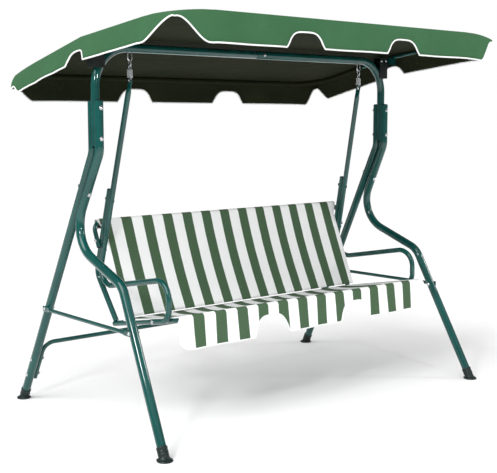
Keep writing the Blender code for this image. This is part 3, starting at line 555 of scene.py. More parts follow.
def mirrored(points: Iterable[Vector]) -> Points:
    """Return the points reflected to the bench's other end, last first."""
    return [Vector((-point[0], point[1], point[2])) for point in reversed(list(points))]


def refined(points: Points, longest: float) -> Points:
    """Divide the long stretches of a line.

    Args:
        points: the line.
        longest: the longest stretch that stays whole.

    Returns:
        The points.
    """
    dense = [points[0]]
    for first, last in zip(points, points[1:]):
        count = max(1, math.ceil((last - first).length / longest))
        dense += [first.lerp(last, (index + 1) / count) for index in range(count)]
    return dense


def swept(
    name: str,
    points: Points,
    radius: float,
    resolution: int = 10,
    closed: bool = False,
    scales: Sequence[float] | None = None,
) -> bpy.types.Mesh:
    """Return a round section swept along points, with welded caps.

    Args:
        name: the mesh's name.
        points: the centre line.
        radius: the section's radius.
        resolution: the curve's bevel resolution; the section has 4 + 2 x resolution sides.
        closed: whether the centre line is a loop.
        scales: the section's scale at each point.

    Returns:
        The mesh.
    """
    curve = bpy.data.curves.new(name, "CURVE")
    curve.dimensions = "3D"
    curve.bevel_depth = radius
    curve.bevel_resolution = resolution
    curve.use_fill_caps = not closed
    spline = curve.splines.new("POLY")
    spline.points.add(len(points) - 1)
    spline.use_cyclic_u = closed
    for index, point in enumerate(points):
        spline.points[index].co = (*point, 1.0)
        if scales:
            spline.points[index].radius = scales[index]
    guide = bpy.data.objects.new(f"{name}_guide", curve)
    bpy.context.scene.collection.objects.link(guide)
    bpy.context.view_layer.update()
    evaluated = guide.evaluated_get(bpy.context.evaluated_depsgraph_get())
    mesh = bpy.data.meshes.new_from_object(evaluated)
    bpy.data.objects.remove(guide)
    shape = bmesh.new()
    shape.from_mesh(mesh)
    bmesh.ops.remove_doubles(shape, verts=shape.verts, dist=0.00001)
    bmesh.ops.recalc_face_normals(shape, faces=shape.faces)
    shape.to_mesh(mesh)
    shape.free()
    mesh.materials.clear()
    return mesh


def turned(name: str, outline: Sequence[tuple[float, float]], sides: int) -> bpy.types.Mesh:
    """Turn a profile about Z.

    Args:
        name: the mesh's name.
        outline: pairs of radius and height.
        sides: how many steps make the full turn.

    Returns:
        The closed mesh.
    """
    shape = bmesh.new()
    corners = [shape.verts.new((radius, 0.0, height)) for radius, height in outline]
    edges = [shape.edges.new(pair) for pair in zip(corners, corners[1:])]
    bmesh.ops.spin(
        shape,
        geom=corners + edges,
        cent=(0, 0, 0),
        axis=(0, 0, 1),
        angle=math.tau,
        steps=sides,
        use_duplicate=False,
    )
    bmesh.ops.remove_doubles(shape, verts=shape.verts, dist=0.000005)
    bmesh.ops.recalc_face_normals(shape, faces=shape.faces)
    mesh = bpy.data.meshes.new(name)
    shape.to_mesh(mesh)
    shape.free()
    return mesh


def smooth_step(share: float) -> float:
    """Return the smooth step of a share, clamped to 0 and 1."""
    share = min(1.0, max(0.0, share))
    return share * share * (3 - 2 * share)


def press_flat(
    mesh: bpy.types.Mesh,
    centre: Vector,
    along: Vector,
    flat: float,
    shoulder: float,
    thin: float,
    wide: float,
) -> None:
    """Press a swept end flat across X, fading out towards its shoulder.

    Args:
        mesh: the mesh to change.
        centre: the middle of the flat.
        along: the centre line's direction there.
        flat: how far the flat goes each way.
        shoulder: where the section is round again.
        thin: the scale across X.
        wide: the scale of the other direction.
    """
    along = along.normalized()
    thin_axis = Vector((1, 0, 0))
    wide_axis = along.cross(thin_axis).normalized()
    for vertex in mesh.vertices:
        offset = vertex.co - centre
        distance = abs(offset.dot(along))
        if offset.length > shoulder + 0.03:
            continue
        share = 1 - smooth_step((distance - flat) / (shoulder - flat))
        shift = thin_axis * offset.dot(thin_axis) * (thin - 1)
        shift += wide_axis * offset.dot(wide_axis) * (wide - 1)
        vertex.co += shift * share


def add_piece(name: str, mesh: bpy.types.Mesh, *materials: bpy.types.Material) -> bpy.types.Object:
    """Link a smooth-shaded mesh to the scene.

    Args:
        name: the object's name.
        mesh: its mesh.
        materials: its materials, in order.

    Returns:
        The object.
    """
    mesh.shade_smooth()
    mesh.set_sharp_from_angle(angle=math.radians(42))
    for material in materials:
        mesh.materials.append(material)
    piece = bpy.data.objects.new(name, mesh)
    bpy.context.scene.collection.objects.link(piece)
    return piece


def applied(piece: bpy.types.Object) -> bpy.types.Object:
    """Turn a piece's modifiers into plain mesh.

    Args:
        piece: the piece.

    Returns:
        The same piece.
    """
    bpy.context.view_layer.update()
    evaluated = piece.evaluated_get(bpy.context.evaluated_depsgraph_get())
    mesh = bpy.data.meshes.new_from_object(evaluated)
    piece.modifiers.clear()
    piece.data = mesh
    return piece


def publish(piece: bpy.types.Object, body: Body, nodes: Iterable[str] = ()) -> bpy.types.Object:
    """Ride a finished piece on its body.

    Args:
        piece: the finished piece.
        body: the body it moves with.
        nodes: the solids that it stands for.

    Returns:
        The piece.
    """
    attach(piece, body.value)
    nodes = list(nodes)
    if nodes:
        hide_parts(*nodes)
    LOG.info("%s rides on %s, %d faces", piece.name, body.value, len(piece.data.polygons))
    return piece


def stand_in(
    node: str,
    mesh: bpy.types.Mesh,
    finish: bpy.types.Material,
    body: Body,
) -> bpy.types.Object:
    """Publish a fine mesh in place of one solid.

    Args:
        node: the solid's name.
        mesh: the fine mesh.
        finish: its material.
        body: the body it moves with.

    Returns:
        The piece.
    """
    return publish(add_piece(f"fine_{node}", mesh, finish), body, [node])


def box_of(node: str) -> tuple[Vector, Vector]:
    """Return the low and the high corner of a solid's box."""
    low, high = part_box(node)
    return Vector(low), Vector(high)


# --- repeated fittings by Geometry Nodes ------------------------------------
@dataclass(frozen=True)
class Place:
    """Where a repeated fitting sits, which way its +Z points, and its scale."""

    point: Vector
    direction: Vector
    scale: float = 1.0


class FittingTree:
    """A node tree that puts one fitting on every point of a mesh."""

    def __init__(self) -> None:
        """Build the tree with its named inputs."""
        tree = bpy.data.node_groups.new("fittings_on_points", "GeometryNodeTree")
        self.tree = tree
        face = tree.interface
        face.new_socket("Geometry", in_out="INPUT", socket_type="NodeSocketGeometry")
        face.new_socket("Fitting", in_out="INPUT", socket_type="NodeSocketObject")
        face.new_socket("Finish", in_out="INPUT", socket_type="NodeSocketMaterial")
        face.new_socket("Geometry", in_out="OUTPUT", socket_type="NodeSocketGeometry")
        start = tree.nodes.new("NodeGroupInput")
        end = tree.nodes.new("NodeGroupOutput")
        info = tree.nodes.new("GeometryNodeObjectInfo")
        direction = self.attribute("direction", "FLOAT_VECTOR")
        scale = self.attribute("size", "FLOAT")
        turn = tree.nodes.new("FunctionNodeAlignRotationToVector")
        turn.axis = "Z"
        spread = tree.nodes.new("GeometryNodeInstanceOnPoints")
        real = tree.nodes.new("GeometryNodeRealizeInstances")
        paint = tree.nodes.new("GeometryNodeSetMaterial")
        link = tree.links.new
        link(start.outputs["Fitting"], info.inputs["Object"])
        link(start.outputs["Geometry"], spread.inputs["Points"])
        link(info.outputs["Geometry"], spread.inputs["Instance"])
        link(direction, turn.inputs["Vector"])
        link(turn.outputs["Rotation"], spread.inputs["Rotation"])
        link(scale, spread.inputs["Scale"])
        link(spread.outputs["Instances"], real.inputs["Geometry"])
        link(real.outputs["Geometry"], paint.inputs["Geometry"])
        link(start.outputs["Finish"], paint.inputs["Material"])
        link(paint.outputs["Geometry"], end.inputs["Geometry"])

    def attribute(self, name: str, kind: str) -> bpy.types.NodeSocket:
        """Read a named attribute of the points.

        Args:
            name: the attribute's name.
            kind: its data type.

        Returns:
            Its output socket.
        """
        made = self.tree.nodes.new("GeometryNodeInputNamedAttribute")
        made.data_type = kind
        made.inputs["Name"].default_value = name
        return made.outputs["Attribute"]

    def identifier(self, name: str) -> str:
        """Return the identifier of an input.

        Args:
            name: the input's name.

        Returns:
            The identifier that a modifier uses.
        """
        for item in self.tree.interface.items_tree:
            if item.item_type == "SOCKET" and item.in_out == "INPUT" and item.name == name:
                return item.identifier
        raise KeyError(name)

    def spread(
        self,
        name: str,
        fitting: bpy.types.Mesh,
        places: Sequence[Place],
        finish: bpy.types.Material,
    ) -> bpy.types.Object:
        """Return one plain piece with the fitting at every place.

        Args:
            name: the piece's name.
            fitting: the mesh to repeat, with +Z as its axis.
            places: where it goes.
            finish: its material.

        Returns:
            The piece.
        """
        fitting.shade_smooth()
        fitting.set_sharp_from_angle(angle=math.radians(35))
        source = bpy.data.objects.new(f"{name}_source", fitting)
        bpy.context.scene.collection.objects.link(source)
        points = bpy.data.meshes.new(name)
        points.from_pydata([tuple(place.point) for place in places], [], [])
        directions = points.attributes.new("direction", "FLOAT_VECTOR", "POINT")
        directions.data.foreach_set("vector", [number for place in places for number in place.direction])
        sizes = points.attributes.new("size", "FLOAT", "POINT")
        sizes.data.foreach_set("value", [place.scale for place in places])
        piece = bpy.data.objects.new(name, points)
        bpy.context.scene.collection.objects.link(piece)
        modifier = piece.modifiers.new("fittings", "NODES")
        modifier.node_group = self.tree
        modifier[self.identifier("Fitting")] = source
        modifier[self.identifier("Finish")] = finish
        applied(piece)
        bpy.data.objects.remove(source)
        return piece


# --- shared sizes ------------------------------------------------------------
@dataclass(frozen=True)
class Sizes:
    """The driving sizes that the fine meshes share with the solids."""

    half_span: float = 0.790
    bar_height: float = 1.435
    bar_radius: float = 0.0170
    bar_bend: float = 0.145
    bar_drop: float = 0.368
    leg_radius: float = 0.0175
    leg_pitch: float = 0.043
    leg_top_drop: float = 0.200
    elbow_drop: float = 0.392
    rear_foot_y: float = 0.535
    front_foot_y: float = -0.505
    rear_splay: float = 0.038
    front_splay: float = 0.066
    crotch_height: float = 0.703
    knee_y: float = -0.205
    knee_height: float = 0.568
    stretcher_radius: float = 0.009
    stretcher_height: float = 0.252
    stretcher_end: float = 0.092
    brace_height: float = 0.410
    brace_radius: float = 0.00775
    brace_flat: float = 0.0035
    seat_tube: float = 0.011
    rail_x: float = 0.660
    rail_z: float = 0.445
    rail_ref_y: float = -0.350
    rail_slope: float = 0.183
    front_bar_y: float = -0.348
    rail_end_y: float = 0.090
    rear_bar_y: float = 0.050
    hang_x: float = 0.634
    hanger_corner: Triple = (0.676, 0.183, 0.501)
    hole_z: float = 1.3075
    hanger_tip: float = 0.011
    arm_slope: float = 0.182
    arm_front_y: float = -0.300
    arm_end_y: float = -0.192
    side_gap: float = 0.0015
    back_top_z: float = 0.894
    back_corner_z: float = 0.560
    top_tube_radius: float = 0.009
    top_tube_z: float = 0.760
    top_tube_lean: float = 0.436
    top_tube_end_z: float = 0.665
    top_bolt_z: float = 0.690

    @property
    def elbow(self) -> float:
        """Return the height of the legs' elbows."""
        return self.bar_height - self.elbow_drop

    @property
    def leg_slope(self) -> float:
        """Return how far a rear leg goes back for each metre down."""
        return (self.rear_foot_y - self.leg_pitch / 2) / self.elbow

    @property
    def hanger_slope(self) -> float:
        """Return how far a hanger goes back for each metre down."""
        return self.hanger_corner[1] / (self.hole_z - self.hanger_corner[2])

    @property
    def side_offset(self) -> float:
        """Return how far a side tube lies behind its hanger."""
        return (2 * self.seat_tube + 0.0005) * math.hypot(1, self.hanger_slope)

    @property
    def arm_x(self) -> float:
        """Return how far out the armrests' ends are."""
        return self.rail_x + 2 * self.seat_tube + self.side_gap

    def leg_x(self, height: float, splay: float) -> float:
        """Return how far out a leg is at a height."""
        return self.half_span + splay * (self.elbow - height) / self.elbow

    def rear_leg(self, height: float, side: int) -> Vector:
        """Return the rear leg's centre at a height below its elbow."""
        y = self.leg_pitch / 2 + self.leg_slope * (self.elbow - height)
        return Vector((side * self.leg_x(height, self.rear_splay), y, height))

    def front_slope(self, height: float, side: int) -> Vector:
        """Return the front leg's centre where it runs along the rear leg."""
        y = -self.leg_pitch / 2 + self.leg_slope * (self.elbow - height)
        return Vector((side * self.leg_x(height, self.front_splay), y, height))

    def front_leg(self, height: float, side: int) -> Vector:
        """Return the front leg's centre between its knee and its foot.

        Args:
            height: the height above the ground.
            side: -1 for left, 1 for right.

        Returns:
            The point.
        """
        fall = (self.knee_height - height) / self.knee_height
        y = self.knee_y + (self.front_foot_y - self.knee_y) * fall
        return Vector((side * self.leg_x(height, self.front_splay), y, height))

    def rail(self, y: float) -> float:
        """Return the height of the seat rails."""
        return self.rail_z - self.rail_slope * (y - self.rail_ref_y)

    def hanger(self, height: float, side: int, behind: float = 0.0) -> Vector:
        """Return a hanger's centre.

        Args:
            height: the height above the ground.
            side: -1 for left, 1 for right.
            behind: how far behind the centre the point lies.

        Returns:
            The point.
        """
        fall = (self.hole_z - height) / (self.hole_z - self.hanger_corner[2])
        x = self.hang_x + (self.hanger_corner[0] - self.hang_x) * fall
        return Vector((side * x, self.hanger_slope * (self.hole_z - height) + behind, height))

    def arm(self, y: float) -> float:
        """Return the height of the armrests."""
        return self.hanger_corner[2] + self.arm_slope * (self.hanger_corner[1] - y)

    def top_tube_y(self, height: float) -> float:
        """Return where the back's top tube lies at a height of its legs."""
        pivot = self.hanger(self.top_bolt_z, 1, self.side_offset).y
        return pivot + self.top_tube_lean * (height - self.top_bolt_z)


# --- sub-assemblies ----------------------------------------------------------
@dataclass
class StandingFrame:
    """The painted tubes that stand on the ground, with feet and bar."""

    sizes: Sizes
    finishes: Finishes
    fittings: FittingTree
    foot_height: float = 0.01475
    leg_bends: Triple = (0.070, 0.134, 0.090)
    leg_run: float = 0.012
    dimple_run: float = 0.012
    lip_length: float = 0.0015
    lip_scale: float = 0.965
    stretcher_bend: float = 0.045
    brace_past_bolt: float = 0.013
    brace_flat_reach: float = 0.024
    brace_shoulder: float = 0.046
    brace_widening: float = 1.48
    sleeve_wall: float = 0.0021
    sleeve_top: float = 0.0455
    flange: float = 0.0285
    flange_height: float = 0.0065
    ring_heights: tuple[float, float] = (0.020, 0.028)
    end_plugs: list[Place] = field(default_factory=list)

    def nest(self, mesh: bpy.types.Mesh, side: int) -> None:
        """Dimple a leg's upright stretch round the crossbar's end.

        Args:
            mesh: the leg's mesh, which is changed.
            side: -1 for left, 1 for right.
        """
        sizes = self.sizes
        low = sizes.bar_height - sizes.bar_drop - self.dimple_run
        for vertex in mesh.vertices:
            if vertex.co.z < low:
                continue
            across = Vector((vertex.co.x - side * sizes.half_span, vertex.co.y))
            wanted = (sizes.bar_radius + GAP) * smooth_step((vertex.co.z - low) / self.dimple_run)
            if across.length < wanted and across.length > 1e-6:
                across *= wanted / across.length
                vertex.co.x = side * sizes.half_span + across.x
                vertex.co.y = across.y

    def build_legs(self) -> None:
        """Build the four legs."""
        sizes = self.sizes
        half = sizes.leg_pitch / 2
        top = sizes.bar_height - sizes.leg_top_drop
        for side in Side:
            x = side.value * sizes.half_span
            rear = [(x, half, top), (x, half, sizes.elbow), sizes.rear_leg(self.foot_height, side.value)]
            front = [
                (x, -half, top),
                (x, -half, sizes.elbow),
                sizes.front_slope(sizes.crotch_height, side.value),
                sizes.front_leg(sizes.knee_height, side.value),
                sizes.front_leg(self.foot_height, side.value),
            ]
            for word, corners in (("rear", rear), ("front", front)):
                name = f"{word}_leg_{side.word}"
                points = refined(bent(corners, self.leg_bends), self.leg_run)
                mesh = swept(f"fine_{name}", points, sizes.leg_radius, 12)
                self.nest(mesh, side.value)
                stand_in(name, mesh, self.finishes.paint, Body.FRAME)
            for sign in (-1, 1):
                point = Vector((x, sign * (half + 0.006), top))
                self.end_plugs.append(Place(point, Vector((0, 0, 1)), sizes.leg_radius * 0.66))

    def build_bar(self) -> None:
        """Build the crossbar's halves with the lip of their joint."""
        sizes = self.sizes
        low = sizes.bar_height - sizes.bar_drop
        corners = [
            (-sizes.half_span, 0, low),
            (-sizes.half_span, 0, sizes.bar_height),
            (-GAP, 0, sizes.bar_height),
        ]
        left = bent(corners, [sizes.bar_bend])
        scales = [1.0] * (len(left) - 1) + [self.lip_scale]
        left.insert(-1, left[-1] - Vector((self.lip_length, 0, 0)))
        scales.insert(-1, 1.0)
        right = [point.copy() for point in mirrored(left)]
        for word, points, widths in (("left", left, scales), ("right", right, list(reversed(scales)))):
            name = f"crossbar_{word}"
            mesh = swept(f"fine_{name}", points, sizes.bar_radius, 12, scales=widths)
            stand_in(name, mesh, self.finishes.paint, Body.FRAME)

    def build_stretcher(self) -> None:
        """Build the low bar between the rear legs."""
        sizes = self.sizes
        inset = Vector((-sizes.leg_radius - sizes.stretcher_radius - 0.0005, 0, 0))
        end = sizes.rear_leg(sizes.stretcher_end, 1) + inset
        corner = sizes.rear_leg(sizes.stretcher_height, 1) + inset
        points = bent([end, corner, *mirrored([end, corner])], [self.stretcher_bend] * 2)
        mesh = swept("fine_rear_stretcher", points, sizes.stretcher_radius, 9)
        stand_in("rear_stretcher", mesh, self.finishes.paint, Body.FRAME)
        for side in Side:
            tip = Vector((side.value * end.x, end.y, end.z))
            down = tip - Vector((side.value * corner.x, corner.y, corner.z))
            self.end_plugs.append(Place(tip, down, sizes.stretcher_radius * 0.9))

    def build_braces(self) -> None:
        """Build the side braces with their pressed ends."""
        sizes = self.sizes
        for side in Side:
            out = Vector((side.value * (sizes.leg_radius + 0.001 + sizes.brace_flat / 2), 0, 0))
            start = sizes.rear_leg(sizes.brace_height, side.value) + out
            stop = sizes.front_leg(sizes.brace_height, side.value) + out
            along = (stop - start).normalized()
            past = along * self.brace_past_bolt
            points = refined([start - past, stop + past], 0.004)
            name = f"side_brace_{side.word}"
            mesh = swept(f"fine_{name}", points, sizes.brace_radius, 8)
            thin = sizes.brace_flat / (2 * sizes.brace_radius)
            for centre in (start, stop):
                flat, shoulder = self.brace_flat_reach, self.brace_shoulder
                press_flat(mesh, centre, along, flat, shoulder, thin, self.brace_widening)
            stand_in(name, mesh, self.finishes.paint, Body.FRAME)

    def build_feet(self) -> None:
        """Build the rubber caps: a ringed sleeve that flares into a flange."""
        sizes = self.sizes
        for side in Side:
            for word, line in (("rear", sizes.rear_leg), ("front", sizes.front_leg)):
                foot = line(0.0, side.value)
                up = (line(0.2, side.value) - foot).normalized()
                self.build_foot(f"foot_cap_{word}_{side.word}", foot, up)

    def build_foot(self, name: str, foot: Vector, up: Vector) -> None:
        """Build one cap by leaning a turned profile along its leg.

        Args:
            name: the solid's name.
            foot: the leg's centre on the ground.
            up: the leg's direction.
        """
        sleeve = self.sizes.leg_radius + self.sleeve_wall
        flange = self.flange
        shoulder = flange - 0.001
        outline = [(0.0, 0.0), (flange - 0.0015, 0.0), (flange, 0.0015), (flange, self.flange_height - 0.001)]
        outline.append((shoulder, self.flange_height))
        for step in range(1, 9):
            turn = step / 8 * math.pi / 2
            reach = shoulder - sleeve
            height = self.flange_height + 0.0095 * (1 - math.cos(turn))
            outline.append((sleeve + reach * (1 - math.sin(turn)), height))
        for ring in self.ring_heights:
            outline += [(sleeve, ring), (sleeve + 0.0007, ring + 0.0008), (sleeve + 0.0007, ring + 0.0018)]
            outline.append((sleeve, ring + 0.0026))
        top = self.sleeve_top
        outline += [(sleeve, top - 0.0075), (sleeve + 0.0008, top - 0.0065), (sleeve + 0.0008, top - 0.002)]
        outline += [(sleeve, top - 0.0005), (sleeve - 0.0018, top), (sleeve - 0.0018, top - 0.0055)]
        outline.append((0.0, top - 0.0055))
        mesh = turned(f"fine_{name}", outline, 40)
        lean = Vector((up.x / up.z, up.y / up.z, 0.0))
        tilt = Vector((0, 0, 1)).rotation_difference(up)
        for vertex in mesh.vertices:
            height = vertex.co.z
            share = smooth_step((height - 0.004) / 0.020)
            offset = Vector((vertex.co.x, vertex.co.y, 0.0))
            slanted = tilt @ offset
            vertex.co = foot + lean * height + offset.lerp(slanted, share) + Vector((0, 0, height))
        stand_in(name, mesh, self.finishes.rubber, Body.FRAME)

    def build(self) -> None:
        """Build every piece of the standing frame."""
        self.build_legs()
        self.build_bar()
        self.build_stretcher()
        self.build_braces()
        self.build_feet()
        publish(
            self.fittings.spread("frame_end_plugs", plug_mesh(), self.end_plugs, self.finishes.plastic),
            Body.FRAME,
        )


def plug_mesh() -> bpy.types.Mesh:
    """Return a domed end plug of radius 1, its rim at height 0."""
    outline = [(0.0, 0.30), (0.45, 0.27), (0.80, 0.17), (0.98, 0.03), (1.0, 0.0), (0.98, -0.12), (0.0, -0.12)]
    return turned("end_plug", outline, 24)


@dataclass
class SwingSeat:
    """The hanging seat's painted tubes."""

    sizes: Sizes
    finishes: Finishes
    fittings: FittingTree
    hanger_bends: Triple = (0.069, 0.068, 0.045)
    side_bend: float = 0.080
    top_bend: float = 0.040
    rail_bend: float = 0.055
    eyelet_run: float = 0.003
    eyelet_bore: float = 0.0048
    eyelet_flat: float = 0.014
    eyelet_shoulder: float = 0.044
    eyelet_thickness: float = 0.0036
    eyelet_widening: float = 1.2
    plug_share: float = 0.98
    end_plugs: list[Place] = field(default_factory=list)

    def add_tube(self, node: str, points: Points, radius: float) -> bpy.types.Object:
        """Publish one painted tube in place of its solid."""
        mesh = swept(f"fine_{node}", points, radius, 10)
        return stand_in(node, mesh, self.finishes.paint, Body.SEAT)

    def plug(self, points: Points, at_end: bool, radius: float) -> None:
        """Close one open end of a tube with a plug."""
        tip, before = (points[-1], points[-2]) if at_end else (points[0], points[1])
        self.end_plugs.append(Place(tip.copy(), (tip - before).normalized(), radius * self.plug_share))

    def build_hangers(self) -> None:
        """Build the hangers, each with its flat eyelet end and its armrest."""
        sizes = self.sizes
        for side in Side:
            sign = side.value
            hole = sizes.hanger(sizes.hole_z, sign)
            along = (hole - sizes.hanger(sizes.hanger_corner[2], sign)).normalized()
            front_x = sign * (sizes.hanger_corner[0] + sizes.arm_x) / 2
            corners = [
                hole + along * sizes.hanger_tip,
                sizes.hanger(sizes.hanger_corner[2], sign),
                (front_x, sizes.arm_front_y, sizes.arm(sizes.arm_front_y)),
                (sign * sizes.arm_x, sizes.arm_front_y, sizes.rail(sizes.arm_front_y)),
                (sign * sizes.arm_x, sizes.arm_end_y, sizes.rail(sizes.arm_end_y)),
            ]
            points = bent(corners, self.hanger_bends)
            points[0:1] = [hole + along * (sizes.hanger_tip - self.eyelet_run * step) for step in range(30)]
            name = f"hanger_arm_{side.word}"
            mesh = swept(f"fine_{name}", points, sizes.seat_tube, 10)
            thin = self.eyelet_thickness / (2 * sizes.seat_tube)
            press_flat(mesh, hole, along, self.eyelet_flat, self.eyelet_shoulder, thin, self.eyelet_widening)
            piece = add_piece(f"fine_{name}", mesh, self.finishes.paint)
            reach = Vector((0.02, 0, 0))
            drill = swept("drill", [hole - reach, hole + reach], self.eyelet_bore, 8)
            cutter = bpy.data.objects.new("drill", drill)
            bpy.context.scene.collection.objects.link(cutter)
            modifier = piece.modifiers.new("eyelet", "BOOLEAN")
            modifier.operation = "DIFFERENCE"
            modifier.object = cutter
            applied(piece)
            bpy.data.objects.remove(cutter)
            piece.data.materials.clear()
            piece.data.materials.append(self.finishes.paint)
            publish(piece, Body.SEAT, [name])
            self.plug(points, True, sizes.seat_tube)

    def build_back(self) -> None:
        """Build the back's side tubes and its top tube."""
        sizes = self.sizes
        for side in Side:
            sign = side.value
            top = sizes.hanger(sizes.back_top_z, sign, sizes.side_offset)
            corner = sizes.hanger(sizes.back_corner_z, sign, sizes.side_offset)
            foot_y = sizes.rear_bar_y + 2 * sizes.seat_tube
            foot = Vector((sign * sizes.rail_x, foot_y, sizes.rail(foot_y)))
            end = foot + (corner - foot).normalized() * (1.05 * sizes.seat_tube)
            points = bent([top, corner, end], [self.side_bend])
            self.add_tube(f"back_side_tube_{side.word}", points, sizes.seat_tube)
            self.plug(points, False, sizes.seat_tube)
        x = sizes.hanger(sizes.top_bolt_z, 1).x + sizes.seat_tube + sizes.top_tube_radius + sizes.side_gap
        end = Vector((x, sizes.top_tube_y(sizes.top_tube_end_z), sizes.top_tube_end_z))
        corner = Vector((x, sizes.top_tube_y(sizes.top_tube_z), sizes.top_tube_z))
        points = bent([end, corner, *mirrored([end, corner])], [self.top_bend] * 2)
        self.add_tube("back_top_tube", points, sizes.top_tube_radius)
        self.plug(points, False, sizes.top_tube_radius)
        self.plug(points, True, sizes.top_tube_radius)

    def build_seat_tubes(self) -> None:
        """Build the seat's U tube and its rear bar."""
        sizes = self.sizes
        end = Vector((sizes.rail_x, sizes.rail_end_y, sizes.rail(sizes.rail_end_y)))
        corner = Vector((sizes.rail_x, sizes.front_bar_y, sizes.rail(sizes.front_bar_y)))
        points = bent([end, corner, *mirrored([end, corner])], [self.rail_bend] * 2)
        self.add_tube("seat_frame_tube", points, sizes.seat_tube)
        self.plug(points, False, sizes.seat_tube)
        self.plug(points, True, sizes.seat_tube)
        inner = sizes.rail_x - sizes.seat_tube * 0.9
        height = sizes.rail(sizes.rear_bar_y)
        bar = [Vector((-inner, sizes.rear_bar_y, height)), Vector((inner, sizes.rear_bar_y, height))]
        self.add_tube("seat_rear_bar", bar, sizes.seat_tube)

    def build(self) -> None:
        """Build every tube of the swinging seat."""
        self.build_hangers()
        self.build_back()
        self.build_seat_tubes()
        publish(
            self.fittings.spread("seat_end_plugs", plug_mesh(), self.end_plugs, self.finishes.plastic),
            Body.SEAT,
        )


@dataclass
class Suspension:
    """The eyes, links and springs that carry the seat."""

    sizes: Sizes
    finishes: Finishes
    eye_wire: float = 0.003
    link_wire: float = 0.0025
    link_half: float = 0.0065
    spring_wire: float = 0.0015
    spring_loop: float = 0.0058
    spring_coil: float = 0.0095
    spring_turns: int = 9
    arc_step: float = 0.2

    def ring(self, centre: Vector, radius: float, first: float, last: float, plane: str) -> Points:
        """Return an arc of points in the XZ or the YZ plane.

        Args:
            centre: the arc's centre.
            radius: its radius.
            first: its first angle in radians.
            last: its last angle.
            plane: XZ or YZ.

        Returns:
            The points.
        """
        count = max(6, round(abs(last - first) / self.arc_step))
        points = []
        for index in range(count + 1):
            angle = first + (last - first) * index / count
            across, rise = radius * math.cos(angle), radius * math.sin(angle)
            offset = Vector((across, 0, rise)) if plane == "XZ" else Vector((0, across, rise))
            points.append(centre + offset)
        return points

    def build(self) -> None:
        """Build the hardware of both sides from the solids' boxes."""
        for side in Side:
            self.build_eye(side)
            self.build_link(side)
            self.build_spring(side)

    def build_eye(self, side: Side) -> None:
        """Build the wire eye under the bar.

        Args:
            side: the end of the bench.
        """
        name = f"suspension_eye_{side.word}"
        low, high = box_of(name)
        wire = self.eye_wire
        spread = (high.x - low.x) / 2 - wire
        x = (low.x + high.x) / 2
        centre = Vector((x, 0, low.z + wire + spread))
        points = [Vector((x + spread, 0, high.z))]
        points += self.ring(centre, spread, 0.0, -math.pi, "XZ")
        points.append(Vector((x - spread, 0, high.z)))
        mesh = swept(f"fine_{name}", points, wire, 7)
        stand_in(name, mesh, self.finishes.zinc, Body.FRAME)

    def build_link(self, side: Side) -> None:
        """Build the oval link.

        Args:
            side: the end of the bench.
        """
        name = f"suspension_link_{side.word}"
        low, high = box_of(name)
        wire = self.link_wire
        half = self.link_half
        x = (low.x + high.x) / 2
        points = self.ring(Vector((x, 0, high.z - wire - half)), half, 0.0, math.pi, "YZ")
        points += self.ring(Vector((x, 0, low.z + wire + half)), half, math.pi, math.tau, "YZ")
        mesh = swept(f"fine_{name}", points, wire, 7, closed=True)
        stand_in(name, mesh, self.finishes.zinc, Body.SUSPENSION)

    def build_spring(self, side: Side) -> None:
        """Build the coil spring, which stretches between link and hanger.

        Args:
            side: the end of the bench.
        """
        name = f"suspension_spring_{side.word}"
        low, high = box_of(name)
        wire, loop, coil, turns = self.spring_wire, self.spring_loop, self.spring_coil, self.spring_turns
        x = side.value * self.sizes.hang_x
        coil_top = high.z - wire - 2 * loop - 2.2 * wire
        coil_bottom = low.z + wire + 2 * loop + 2.2 * wire
        points = self.ring(Vector((x, 0, high.z - wire - loop)), loop, -0.30 * math.pi, 1.42 * math.pi, "XZ")
        count = turns * 22
        for step in range(count + 1):
            angle = math.tau * step * turns / count
            height = coil_top + (coil_bottom - coil_top) * step / count
            points.append(Vector((x + coil * math.cos(angle), coil * math.sin(angle), height)))
        lower = Vector((x, 0, low.z + wire + loop))
        points += self.ring(lower, loop, 0.42 * math.pi, -1.30 * math.pi, "XZ")
        mesh = swept(f"fine_{name}", points, wire, 4)
        piece = add_piece(f"fine_{name}", mesh, self.finishes.zinc)
        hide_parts(name)
        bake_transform(piece)
        LOG.info("%s stretches with the seat", piece.name)


@dataclass(frozen=True)
class BoltRow:
    """A kind of bolt: its nodes, its direction into the stack, and its grip."""

    nodes: tuple[str, ...]
    direction: Triple
    grip: float
    radius: float = 0.003
    painted: bool = False


